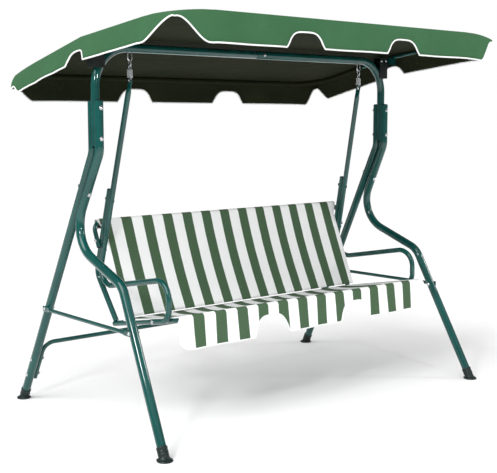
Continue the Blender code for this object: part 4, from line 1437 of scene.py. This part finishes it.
@dataclass
class Fasteners:
    """Domed bolt heads and hexagon nuts in place of the plain bolts."""

    sizes: Sizes
    finishes: Finishes
    fittings: FittingTree
    leg_bolt: float = 0.0035
    bracket_bolt: float = 0.0027
    stretcher_grip: float = 0.0535
    brace_grip: float = 0.0395
    tilt_grip: float = 0.0185
    hanger_grip: float = 0.0445
    top_tube_grip: float = 0.0415
    arm_grip: float = 0.0455

    def head_mesh(self) -> bpy.types.Mesh:
        """Build a domed head on a washer, for a shank of radius 1.

        Returns:
            The mesh, with the shank along -Z.
        """
        outline = [(0.0, 1.45)]
        for step in range(1, 8):
            angle = step / 7 * math.pi / 2
            outline.append((1.75 * math.sin(angle), 0.45 + 1.0 * math.cos(angle)))
        outline += [(1.75, 0.34), (2.35, 0.32), (2.45, 0.22), (2.45, 0.02), (0.0, 0.02)]
        return turned("domed_head", outline, 28)

    def nut_mesh(self) -> bpy.types.Mesh:
        """Build a hexagon nut on a washer with the bolt's end in it, for a shank of radius 1.

        Returns:
            The mesh, with the bolt's end along +Z.
        """
        shape = bmesh.new()
        bmesh.ops.create_cone(shape, cap_ends=True, segments=6, radius1=2.0, radius2=2.0, depth=1.5)
        bmesh.ops.translate(shape, vec=(0, 0, 1.05), verts=shape.verts)
        rim = [edge for edge in shape.edges if abs(edge.verts[0].co.z - edge.verts[1].co.z) < 0.01]
        bmesh.ops.bevel(shape, geom=rim, offset=0.22, segments=2, affect="EDGES")
        washer = bmesh.ops.create_cone(shape, cap_ends=True, segments=28, radius1=2.4, radius2=2.4, depth=0.3)
        bmesh.ops.translate(shape, vec=(0, 0, 0.16), verts=washer["verts"])
        stub = bmesh.ops.create_cone(shape, cap_ends=True, segments=20, radius1=1.0, radius2=0.85, depth=1.2)
        bmesh.ops.translate(shape, vec=(0, 0, 1.65), verts=stub["verts"])
        mesh = bpy.data.meshes.new("hexagon_nut")
        shape.to_mesh(mesh)
        shape.free()
        return mesh

    def rows(self) -> dict[Body, list[BoltRow]]:
        """List every kind of bolt.

        Returns:
            The kinds, by the body that they move with.
        """
        sizes = self.sizes
        rows: dict[Body, list[BoltRow]] = {body: [] for body in Body}
        leg_grip = sizes.leg_pitch + 2 * sizes.leg_radius
        slope = math.hypot(1, sizes.leg_slope)
        lean = math.hypot(1, sizes.hanger_slope)
        rows[Body.FRAME].append(BoltRow(("crossbar_bolt",), (0, 1, 0), 2 * sizes.bar_radius))
        for side in Side:
            word, inward = side.word, (-side.value, 0, 0)
            across = (0, 1 / slope, sizes.leg_slope / slope)
            behind = (0, 1 / lean, sizes.hanger_slope / lean)
            slanted_grip = sizes.leg_pitch / slope + 2 * sizes.leg_radius
            leg_bolts = (f"leg_bolt_{word}_1", f"leg_bolt_{word}_2")
            stretcher_bolts = (f"stretcher_bolt_{word}_1", f"stretcher_bolt_{word}_2")
            brace_bolts = (f"brace_bolt_{word}_front", f"brace_bolt_{word}_rear")
            rows[Body.FRAME] += [
                BoltRow(leg_bolts, (0, 1, 0), leg_grip, self.leg_bolt),
                BoltRow((f"leg_bolt_{word}_3",), across, slanted_grip, self.leg_bolt),
                BoltRow(stretcher_bolts, inward, self.stretcher_grip),
                BoltRow(brace_bolts, inward, self.brace_grip),
            ]
            rows[Body.CANOPY].append(BoltRow((f"tilt_bolt_{word}",), inward, self.tilt_grip))
            hanger_bolts = (f"hanger_bolt_{word}_1", f"hanger_bolt_{word}_2")
            rows[Body.SEAT] += [
                BoltRow(hanger_bolts, behind, self.hanger_grip, painted=True),
                BoltRow((f"back_top_bolt_{word}",), inward, self.top_tube_grip),
                BoltRow((f"arm_bolt_{word}",), inward, self.arm_grip),
            ]
        return rows

    def bracket_heads(self) -> list[Place]:
        """Place the small bolts on the brackets' front.

        Returns:
            Their places.
        """
        places = []
        for side in Side:
            low, high = box_of(f"canopy_bracket_{side.word}")
            inner = low.x if side is Side.RIGHT else high.x
            for along, height in ((0.012, high.z - 0.014), (0.042, high.z - 0.012)):
                point = Vector((inner + side.value * along, low.y, height))
                places.append(Place(point, Vector((0, -1, 0)), self.bracket_bolt))
        return places

    def build(self) -> None:
        """Build the heads and the nuts of every body."""
        for body, rows in self.rows().items():
            for painted in (False, True):
                chosen = [row for row in rows if row.painted is painted]
                if chosen:
                    self.build_rows(body, chosen, painted)

    def build_rows(self, body: Body, rows: Sequence[BoltRow], painted: bool) -> None:
        """Build one body's heads and nuts of one finish.

        Args:
            body: the body that they ride on.
            rows: the kinds of bolt.
            painted: whether they were painted over with the tubes.
        """
        heads: list[Place] = []
        nuts: list[Place] = []
        for row in rows:
            direction = Vector(row.direction).normalized()
            for node in row.nodes:
                low, high = box_of(node)
                middle = (low + high) / 2 + direction * (-0.25 * row.radius)
                heads.append(Place(middle - direction * row.grip / 2, -direction, row.radius))
                nuts.append(Place(middle + direction * row.grip / 2, direction, row.radius))
        nodes = [node for row in rows for node in row.nodes]
        if body is Body.FRAME:
            heads += self.bracket_heads()
        word = "painted" if painted else "plated"
        finish = self.finishes.paint if painted else self.finishes.zinc
        head_piece = self.fittings.spread(f"{body.value}_{word}_heads", self.head_mesh(), heads, finish)
        publish(head_piece, body, nodes)
        publish(self.fittings.spread(f"{body.value}_{word}_nuts", self.nut_mesh(), nuts, finish), body)


# --- cloth -------------------------------------------------------------------
class ClothWork:
    """Shared steps for cloth: thickness, piping and stitches."""

    thickness = 0.0014
    stitch_pitch = 0.006

    def __init__(self, finishes: Finishes, fittings: FittingTree) -> None:
        """Keep the finishes and the tree for stitches."""
        self.finishes = finishes
        self.fittings = fittings

    def thicken(self, piece: bpy.types.Object, lined: bool) -> None:
        """Give an open cloth its thickness.

        Args:
            piece: the cloth, which is changed.
            lined: whether its inner face takes the second material.
        """
        skin = piece.modifiers.new("thickness", "SOLIDIFY")
        skin.thickness = self.thickness
        skin.offset = -1.0
        skin.material_offset = 1 if lined else 0
        applied(piece)

    def pipe(self, name: str, points: Points, radius: float, closed: bool, body: Body) -> bpy.types.Object:
        """Sew a piping cord along points.

        Args:
            name: the piece's name.
            points: the edge.
            radius: the cord's radius.
            closed: whether the edge is a loop.
            body: the body it moves with.

        Returns:
            The cord.
        """
        mesh = swept(name, points, radius, 2, closed=closed)
        return publish(add_piece(name, mesh, self.finishes.piping), body)

    def stitch(self, name: str, points: Points, body: Body, slot: Slot) -> bpy.types.Object:
        """Sew a row of stitches along points.

        Args:
            name: the piece's name.
            points: the seam.
            body: the body it moves with.
            slot: the slot of the cloth; not used.

        Returns:
            The stitches as one piece.
        """
        pitch = self.stitch_pitch
        places = []
        carried = 0.0
        for first, last in zip(points, points[1:]):
            run = last - first
            while carried < run.length:
                places.append(Place(first + run.normalized() * carried, run.normalized()))
                carried += pitch
            carried -= run.length
        half = pitch * 0.32
        outline = [(0.0, -half), (0.00030, -half * 0.8), (0.00042, 0.0), (0.00030, half * 0.8), (0.0, half)]
        fitting = turned("stitch", outline, 6)
        piece = self.fittings.spread(name, fitting, places, self.finishes.thread)
        return publish(piece, body)


def sheet_mesh(name: str, rows: Sequence[Points]) -> bpy.types.Mesh:
    """Build a sheet through rows of points.

    Args:
        name: the mesh's name.
        rows: the rows, all with the same count of points.

    Returns:
        The mesh.
    """
    shape = bmesh.new()
    grid = [[shape.verts.new(point) for point in row] for row in rows]
    for upper, lower in zip(grid, grid[1:]):
        for index in range(len(upper) - 1):
            shape.faces.new((upper[index], lower[index], lower[index + 1], upper[index + 1]))
    mesh = bpy.data.meshes.new(name)
    shape.to_mesh(mesh)
    shape.free()
    return mesh


@dataclass
class Canopy:
    """The gabled canopy cloth with its scalloped skirt, and its tubes."""

    sizes: Sizes
    finishes: Finishes
    work: ClothWork
    half: float = 0.8485
    front: float = 0.571
    rear: float = 0.500
    ridge_rise: float = 0.031
    front_rise: float = 0.064
    rear_fall: float = 0.116
    droop: float = 0.022
    rear_droop: float = 0.009
    roof_sag: float = 0.007
    skirt: float = 0.108
    flap: float = 0.092
    notch: float = 0.052
    skirt_notches: tuple[tuple[float, float], ...] = ((-0.262, 0.090), (0.272, 0.090))
    flap_notches: tuple[tuple[float, float], ...] = ((0.0, 0.060),)
    flare: float = 0.030
    skirt_lean: float = 0.06
    bulge: float = 0.004
    wave: float = 0.010
    skirt_rows: int = 9
    seam_share: float = 0.90
    piping_radius: float = 0.0031
    tube_radius: float = 0.0075
    tube_bend: float = 0.150
    tube_inset: float = 0.0145
    tube_drop: float = 0.014
    tube_start: float = 0.028
    pocket_wall: float = 0.0012
    corners: dict[tuple[bool, bool], tuple[float, float]] = field(
        default_factory=lambda: {
            (False, False): (0.10, 0.145),
            (True, False): (0.12, 0.075),
            (False, True): (0.50, 0.090),
            (True, True): (0.20, 0.072),
        }
    )
    cell: float = 0.0105

    def roof(self, x: float, y: float) -> float:
        """Return the roof's height.

        Args:
            x: the place across the bench.
            y: the place from front to rear.

        Returns:
            The height above the ground.
        """
        ridge = self.sizes.bar_height + self.ridge_rise
        reach = self.front if y < 0 else self.rear
        height = ridge + self.front_rise * -y / reach if y < 0 else ridge - self.rear_fall * y / reach
        past_x = abs(x) - (self.half - self.tube_inset - self.tube_bend)
        past_y = abs(y) - (reach - self.tube_inset - self.tube_bend)
        if past_x > 0 and past_y > 0:
            corner = self.tube_inset + self.tube_bend
            most = corner * math.sqrt(2) - self.tube_bend
            over = max(0.0, math.hypot(past_x, past_y) - self.tube_bend - self.tube_radius)
            droop = self.droop if y < 0 else self.rear_droop
            height -= droop * (over / most) ** 1.3
        inside = (1 - (x / self.half) ** 2) * math.sin(math.pi * min(1.0, abs(y) / reach)) ** 2
        return height - self.roof_sag * inside

    def depth(self, x: float, y: float) -> float:
        """Return how far the skirt hangs below the rim.

        Args:
            x: the place on the rim across the bench.
            y: the place from front to rear.

        Returns:
            The depth, with the notches and the cut-back corners.
        """
        at_front = y <= -self.front + 1e-6
        at_rear = y >= self.rear - 1e-6
        share, corner = self.corners[x > 0, y > 0]
        if at_front or at_rear:
            half, place, full, notches = self.half, x, self.skirt, self.skirt_notches
        else:
            half, place, full, notches = (self.front if y < 0 else self.rear), y, self.flap, self.flap_notches
        depth = full
        for middle, width in notches:
            depth -= (full - self.notch) * max(0.0, 1 - (abs(place - middle) / width) ** 4)
        left = max(0.0, half - abs(place))
        if left < corner:
            depth *= share + (1 - share) * smooth_step(left / corner)
        return depth

    def hang(self, x: float, y: float, share: float) -> Vector:
        """Return a point of the skirt.

        Args:
            x: the place on the rim across the bench.
            y: the place from front to rear.
            share: how far down, from 0 at the rim to 1 at the hem.

        Returns:
            The point.
        """
        depth = self.depth(x, y)
        drop = depth * share
        point = Vector((x, y, self.roof(x, y) - drop))
        bulge = math.sin(math.pi * share) * self.bulge
        wave = noise.noise(Vector((x * 7.0, y * 7.0, 3.0))) * self.wave * share
        if abs(x) > self.half - 1e-6:
            lift = self.flare * drop / self.flap
            point.x += math.copysign(lift + bulge + abs(wave), x)
        if y <= -self.front + 1e-6:
            point.y -= self.skirt_lean * drop + bulge - wave
        if y >= self.rear - 1e-6:
            point.y += self.skirt_lean * drop + bulge - wave
        return point

    def rim(self) -> list[tuple[float, float]]:
        """List the roof's rim.

        Returns:
            The places round it, starting front left.
        """
        xs = self.widths()
        ys = self.depths()
        rim = [(x, ys[0]) for x in xs[:-1]]
        rim += [(self.half, y) for y in ys[:-1]]
        rim += [(x, ys[-1]) for x in reversed(xs[1:])]
        rim += [(-self.half, y) for y in reversed(ys[1:])]
        return rim

    def widths(self) -> list[float]:
        """Return the columns of the roof from left to right."""
        across = round(2 * self.half / self.cell)
        return [-self.half + 2 * self.half * index / across for index in range(across + 1)]

    def depths(self) -> list[float]:
        """List the rows of the roof, one of them on the ridge.

        Returns:
            Their places from front to rear.
        """
        front = round(self.front / self.cell)
        rear = round(self.rear / self.cell)
        ys = [-self.front + self.front * index / front for index in range(front)]
        return ys + [self.rear * index / rear for index in range(rear + 1)]

    def build_cloth(self) -> None:
        """Build the roof and the skirt as one sheet, then pipe and stitch it."""
        xs = self.widths()
        ys = self.depths()
        across, rows = len(xs) - 1, len(ys)
        shape = bmesh.new()
        grid = {}
        for row, y in enumerate(ys):
            for column, x in enumerate(xs):
                grid[row, column] = shape.verts.new((x, y, self.roof(x, y)))
        for row in range(rows - 1):
            for column in range(across):
                corners = [(row, column), (row, column + 1), (row + 1, column + 1), (row + 1, column)]
                shape.faces.new([grid[corner] for corner in corners])
        loop = [(0, column) for column in range(across)]
        loop += [(row, across) for row in range(rows - 1)]
        loop += [(rows - 1, column) for column in range(across, 0, -1)]
        loop += [(row, 0) for row in range(rows - 1, 0, -1)]
        upper = [grid[key] for key in loop]
        places = self.rim()
        for step in range(1, self.skirt_rows + 1):
            lower = [shape.verts.new(self.hang(x, y, step / self.skirt_rows)) for x, y in places]
            for index, vertex in enumerate(upper):
                after = (index + 1) % len(upper)
                shape.faces.new((vertex, lower[index], lower[after], upper[after]))
            upper = lower
        bmesh.ops.recalc_face_normals(shape, faces=shape.faces)
        mesh = bpy.data.meshes.new("canopy_sheet")
        shape.to_mesh(mesh)
        shape.free()
        # The sheet's inner face takes the near-black cloth, whose colour is painted shade under the roof.
        piece = add_piece("canopy_sheet", mesh, self.finishes.roof, self.finishes.lining)
        self.work.thicken(piece, lined=True)
        publish(piece, Body.CANOPY, ["canopy_cloth"])
        hem = [self.hang(x, y, 1.0) for x, y in places]
        piping = self.work.pipe("canopy_piping", hem, self.piping_radius, True, Body.CANOPY)
        seam = [self.hang(x, y, self.seam_share) for x, y in places]
        seam = [point + self.outward(place) * 0.0006 for point, place in zip(seam, places)]
        stitches = self.work.stitch("canopy_hem_stitches", seam, Body.CANOPY, Slot.CANOPY)

    def outward(self, place: tuple[float, float]) -> Vector:
        """Return the direction away from the skirt.

        Args:
            place: a place on the rim.

        Returns:
            The direction.
        """
        x, y = place
        direction = Vector((0, 0, 0))
        if abs(x) > self.half - 1e-6:
            direction.x = math.copysign(1, x)
        if y <= -self.front + 1e-6:
            direction.y = -1
        if y >= self.rear - 1e-6:
            direction.y = 1
        return direction.normalized()

    def build_tubes(self) -> None:
        """Build the two U tubes and sew a pocket round each."""
        x = self.half - self.tube_inset
        for word, sign, reach in (("front", -1, self.front), ("rear", 1, self.rear)):
            start = sign * self.tube_start
            edge = sign * (reach - self.tube_inset)
            end = Vector((x, start, self.straight(start) - self.tube_drop))
            corner = Vector((x, edge, self.straight(edge) - self.tube_drop))
            points = bent([end, corner, *mirrored([end, corner])], [self.tube_bend] * 2)
            name = f"canopy_tube_{word}"
            mesh = swept(f"fine_{name}", points, self.tube_radius, 8)
            stand_in(name, mesh, self.finishes.paint, Body.CANOPY)
            mouth = end.lerp(corner, 0.28)
            run = bent([mouth, corner, *mirrored([mouth, corner])], [self.tube_bend] * 2)
            self.build_pocket(word, refined(run, 0.010))

    def build_pocket(self, word: str, run: Points) -> None:
        """Sew a pocket round a tube, in the near-black inner cloth whose colour is painted shade.

        Args:
            word: which of the two tubes.
            run: the tube's centre line inside the pocket.
        """
        mesh = swept(f"tube_pocket_{word}", run, self.tube_radius + self.pocket_wall, 8)
        for vertex in mesh.vertices:
            rise = vertex.co.z - (self.straight(vertex.co.y) - self.tube_drop)
            if rise > 0:
                vertex.co.z += rise * 0.40
            ripple = noise.noise(Vector((vertex.co.x * 22.0, vertex.co.y * 22.0, rise * 60.0)))
            vertex.co.z += 0.0006 * ripple
        # Painted shade: the pocket's near-black cloth keeps the tube dark under the roof.
        publish(add_piece(f"tube_pocket_{word}", mesh, self.finishes.lining), Body.CANOPY)

    def straight(self, y: float) -> float:
        """Return the taut roof's height, which the tubes follow."""
        ridge = self.sizes.bar_height + self.ridge_rise
        return ridge - self.front_rise * y / self.front if y < 0 else ridge - self.rear_fall * y / self.rear

    def build(self) -> None:
        """Build the canopy."""
        self.build_tubes()
        self.build_cloth()


@dataclass
class SeatCloths:
    """The striped seat with its valance, and the striped back."""

    sizes: Sizes
    finishes: Finishes
    work: ClothWork
    seat_half: float = 0.668
    valance_half: float = 0.685
    valance_depth: float = 0.108
    notch: float = 0.076
    notch_x: float = 0.235
    notch_half: float = 0.090
    corner: float = 0.040
    seat_inset: float = 0.030
    edge_run: float = 0.030
    edge_drop: float = 0.004
    valance_lean: float = 0.012
    valance_wave: float = 0.004
    seat_length: float = 0.51
    back_half: float = 0.645
    back_foot: tuple[float, float] = (0.0297, 0.3955)
    back_spread: float = 0.027
    spread_start: float = 0.88
    sag: float = 0.021
    lift: float = 0.0030
    back_bulge: float = 0.010
    sleeve_row: float = 0.0073
    back_length: float = 0.46
    piping_radius: float = 0.0026
    columns: int = 150
    seat_steps: int = 34
    fold_steps: int = 8
    valance_steps: int = 14
    back_steps: int = 30
    sleeve_steps: int = 12

    def valance_share(self, x: float) -> float:
        """Return how much of the valance's depth hangs at a place.

        Args:
            x: the place across the bench.

        Returns:
            The share, from 0 to 1.
        """
        share = 1.0
        inside = max(0.0, 1 - (abs(abs(x) - self.notch_x) / self.notch_half) ** 4)
        share -= self.notch / self.valance_depth * inside
        left = max(0.0, self.valance_half - abs(x))
        if left < self.corner:
            share *= 0.75 + 0.25 * math.sqrt(left / self.corner)
        return share

    def spaced(self, half: float) -> list[float]:
        """Return the columns' places across a sheet of some half width."""
        return [half * (2 * column / self.columns - 1) for column in range(self.columns + 1)]

    def edge_fall(self, x: float, half: float) -> float:
        """Return how far a side edge curls down over its tube."""
        return self.edge_drop * smooth_step((abs(x) - half + self.edge_run) / self.edge_run)

    def seat_rows(self) -> list[Points]:
        """Lay out the seat cloth.

        Returns:
            The rows of points from the rear edge to the valance's hem.
        """
        sizes = self.sizes
        lift = sizes.seat_tube + self.lift
        lean = math.atan(sizes.rail_slope)
        front = sizes.rail(sizes.front_bar_y)
        rear = sizes.rear_bar_y - 0.002
        flat = self.seat_steps
        rows = []
        for step in range(flat):
            y = rear + (sizes.front_bar_y - rear) * step / flat
            z = sizes.rail(y) + lift / math.cos(lean)
            half = self.seat_half - self.seat_inset * smooth_step((y - 0.012) / 0.018)
            along = 1 - abs(2 * step / flat - 1) ** 3
            row = []
            for x in self.spaced(half):
                sag = self.sag * along * (1 - (x / half) ** 4)
                row.append(Vector((x, y, z - sag - self.edge_fall(x, half))))
            rows.append(row)
        tilt = math.pi / 2 - lean
        for step in range(self.fold_steps + 1):
            share = step / self.fold_steps
            angle = tilt + (math.pi - tilt) * share
            half = self.seat_half + (self.valance_half - self.seat_half) * share
            y = sizes.front_bar_y + lift * math.cos(angle)
            z = front + lift * math.sin(angle)
            rows.append([Vector((x, y, z - self.edge_fall(x, half))) for x in self.spaced(half)])
        for step in range(1, self.valance_steps + 1):
            row = []
            for x in self.spaced(self.valance_half):
                share = self.valance_share(x) * step / self.valance_steps
                fall = self.edge_fall(x, self.valance_half) * (1 - share)
                wave = self.valance_wave * math.sin(x * 23.0 + 0.8) * share
                y = sizes.front_bar_y - lift - self.valance_lean * share + wave
                row.append(Vector((x, y, front - self.valance_depth * share - fall)))
            rows.append(row)
        return rows

    def back_rows(self) -> list[Points]:
        """Lay out the back cloth.

        Returns:
            The rows of points from its foot over the top tube.
        """
        sizes = self.sizes
        lift = sizes.top_tube_radius + self.lift
        tube = Vector((sizes.top_tube_y(sizes.top_tube_z), sizes.top_tube_z))
        foot = Vector(self.back_foot)
        rise = (tube - foot).normalized()
        normal = Vector((-rise.y, rise.x))
        upper = tube + normal * lift
        shares = [step / self.back_steps for step in range(self.back_steps + 1)]
        profile = [(foot.lerp(upper, share), share) for share in shares]
        start = math.atan2(normal.y, normal.x)
        for step in range(1, self.sleeve_steps + 1):
            angle = start - math.pi * step / self.sleeve_steps
            profile.append((tube + Vector((math.cos(angle), math.sin(angle))) * lift, 1.0))
        for _ in range(3):
            profile.append((profile[-1][0] - rise * self.sleeve_row, 1.0))
        rows = []
        for point, share in profile:
            bulge = math.sin(math.pi * share) if share < 1 else 0.0
            spread = max(0.0, share - self.spread_start) / (1 - self.spread_start)
            half = self.back_half + self.back_spread * spread
            row = []
            for x in self.spaced(half):
                depth = self.back_bulge * bulge * (1 - (x / half) ** 4)
                row.append(Vector((x, point.x - normal.x * depth, point.y - normal.y * depth)))
            rows.append(row)
        return rows

    def build_sheet(
        self,
        node: str,
        rows: list[Points],
        cloth: StripedCloth,
    ) -> None:
        """Build one striped cloth with piping on its edges.

        Args:
            node: the solid that it stands for.
            rows: the sheet's rows of points.
            cloth: its finish.
        """
        piece = add_piece(f"striped_{node}", sheet_mesh(node, rows), cloth.build())
        self.work.thicken(piece, lined=False)
        publish(piece, Body.SEAT, [node])
        edges = [row[0] for row in rows] + rows[-1][1:-1] + [row[-1] for row in reversed(rows)]
        trim = [self.work.pipe(f"{node}_piping", edges, self.piping_radius, False, Body.SEAT)]
        for side, column in ((Side.LEFT, 3), (Side.RIGHT, -4)):
            seam = [row[column] + Vector((0, -0.0002, 0.0008)) for row in rows]
            trim.append(self.work.stitch(f"{node}_stitches_{side.word}", seam, Body.SEAT, Slot.SEAT))

    def build(self) -> None:
        """Build both cloths."""
        seat = StripedCloth(
            "seat_stripes", pitch=0.1055, width=0.052, centre=0.041, middle=-0.012, reach=0.630
        )
        back = StripedCloth(
            "back_stripes", pitch=0.103, width=0.050, centre=-0.020, middle=-0.020, reach=0.660
        )
        self.build_sheet("seat_cloth", self.seat_rows(), seat)
        self.build_sheet("back_cloth", self.back_rows(), back)


# --- studio ------------------------------------------------------------------
@dataclass
class Studio:
    """The camera, the floor and the soft lights."""

    eye: Triple = (-2.858, -3.243, 1.168)
    azimuth: float = -41.02
    pitch: float = -6.59
    lens: float = 73.64
    dome: float = 0.58
    glossy_dome: float = 0.22
    seen_dome: float = 1.0
    floor_half: float = 20.0
    aim: Triple = (0.0, 0.0, 0.8)

    def add_lamp(self, light: bpy.types.Light, at: Triple, towards: Vector) -> None:
        """Put a light in the scene.

        Args:
            light: the light.
            at: its place.
            towards: the direction it shines along.
        """
        lamp = bpy.data.objects.new(light.name, light)
        lamp.location = at
        lamp.rotation_euler = towards.to_track_quat("-Z", "Y").to_euler()
        bpy.context.scene.collection.objects.link(lamp)

    def add_sun(self, name: str, towards: Triple, softness: float, power: float) -> None:
        """Add a broad even light.

        Args:
            name: the light's name.
            towards: the direction it shines along.
            softness: its angle in degrees.
            power: its strength.
        """
        light = bpy.data.lights.new(name, "SUN")
        light.angle = math.radians(softness)
        light.energy = power
        self.add_lamp(light, (0.0, 0.0, 0.0), Vector(towards))

    def add_strip(self, name: str, at: Triple, size: float, power: float) -> None:
        """Add a small square light aimed at the bench, for crisp highlights.

        Args:
            name: the light's name.
            at: its place.
            size: its side.
            power: its power in watts.
        """
        light = bpy.data.lights.new(name, "AREA")
        light.size = size
        light.energy = power
        self.add_lamp(light, at, Vector(self.aim) - Vector(at))

    def build_world(self) -> None:
        """Build a white world that is dimmer in its light and reflections than to the eye."""
        world = bpy.data.worlds.new("studio_world")
        world.use_nodes = True
        background = world.node_tree.nodes["Background"]
        background.inputs["Color"].default_value = (1.0, 1.0, 1.0, 1.0)
        path = world.node_tree.nodes.new("ShaderNodeLightPath")
        source: bpy.types.NodeSocket | None = None
        for ray, strength in (("Is Glossy Ray", self.glossy_dome), ("Is Camera Ray", self.seen_dome)):
            level = world.node_tree.nodes.new("ShaderNodeMapRange")
            level.inputs["To Min"].default_value = self.dome
            level.inputs["To Max"].default_value = strength
            world.node_tree.links.new(path.outputs[ray], level.inputs["Value"])
            if source is not None:
                world.node_tree.links.new(source, level.inputs["To Min"])
            source = level.outputs["Result"]
        world.node_tree.links.new(source, background.inputs["Strength"])
        bpy.context.scene.world = world

    def build_floor(self) -> None:
        """Build the pale floor."""
        shape = bmesh.new()
        bmesh.ops.create_grid(shape, x_segments=1, y_segments=1, size=self.floor_half)
        mesh = bpy.data.meshes.new("floor")
        shape.to_mesh(mesh)
        shape.free()
        graph = Graph("pale_floor")
        speck = graph.noise(3.0).steps(0.2, 0.8)
        base = graph.mix(speck * 0.5, (0.93, 0.93, 0.93, 1.0), (0.91, 0.91, 0.91, 1.0))
        add_piece("floor", mesh, graph.close(Base_Color=base, Roughness=0.9))

    def build_lights(self) -> None:
        """Build two broad lights from above and three small ones for the highlights."""
        self.add_sun("key_sun", towards=(1.00, 0.15, -1.10), softness=45.0, power=2.10)
        self.add_sun("front_sun", towards=(0.10, 0.75, -0.95), softness=60.0, power=0.35)
        self.add_strip("left_strip", at=(-4.2, -2.2, 2.6), size=0.45, power=62.0)
        self.add_strip("right_strip", at=(3.8, -2.4, 2.4), size=0.45, power=30.0)
        self.add_strip("front_strip", at=(-0.5, -5.2, 2.2), size=0.30, power=50.0)

    def build_camera(self) -> None:
        """Build the camera."""
        camera = bpy.data.cameras.new("camera")
        camera.lens = self.lens
        camera.sensor_width = 36.0
        camera.clip_end = 100.0
        stand = bpy.data.objects.new("camera", camera)
        stand.location = self.eye
        stand.rotation_euler = (math.radians(90 + self.pitch), 0.0, math.radians(self.azimuth))
        bpy.context.scene.collection.objects.link(stand)
        bpy.context.scene.camera = stand

    def build(self) -> None:
        """Set up the world, the floor, the lights and the camera."""
        bpy.context.scene.view_settings.view_transform = "Standard"
        self.build_world()
        self.build_floor()
        self.build_lights()
        self.build_camera()


def dress_nodes(finishes: Finishes) -> None:
    """Give the solids that stay shown their detailed finishes; the brackets' near-black one is painted shade.

    Args:
        finishes: the bench's finishes.
    """
    for side in Side:
        # The brackets take the near-black plastic finish as painted shade, where they sit under the canopy.
        for node, finish in (("canopy_plate", finishes.paint), ("canopy_bracket", finishes.plastic)):
            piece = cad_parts[f"{node}_{side.word}"]
            for slot in piece.material_slots:
                slot.material = finish
            LOG.info("%s keeps its solid", piece.name)


def main() -> None:
    """Build the sub-assemblies in order, then the studio."""
    logging.basicConfig(level=logging.INFO, format="%(name)s: %(message)s")
    sizes = Sizes()
    finishes = Finishes()
    fittings = FittingTree()
    work = ClothWork(finishes, fittings)
    StandingFrame(sizes, finishes, fittings).build()
    SwingSeat(sizes, finishes, fittings).build()
    Suspension(sizes, finishes).build()
    Fasteners(sizes, finishes, fittings).build()
    Canopy(sizes, finishes, work).build()
    SeatCloths(sizes, finishes, work).build()
    dress_nodes(finishes)
    Studio().build()


if __name__ == "__main__":
    main()
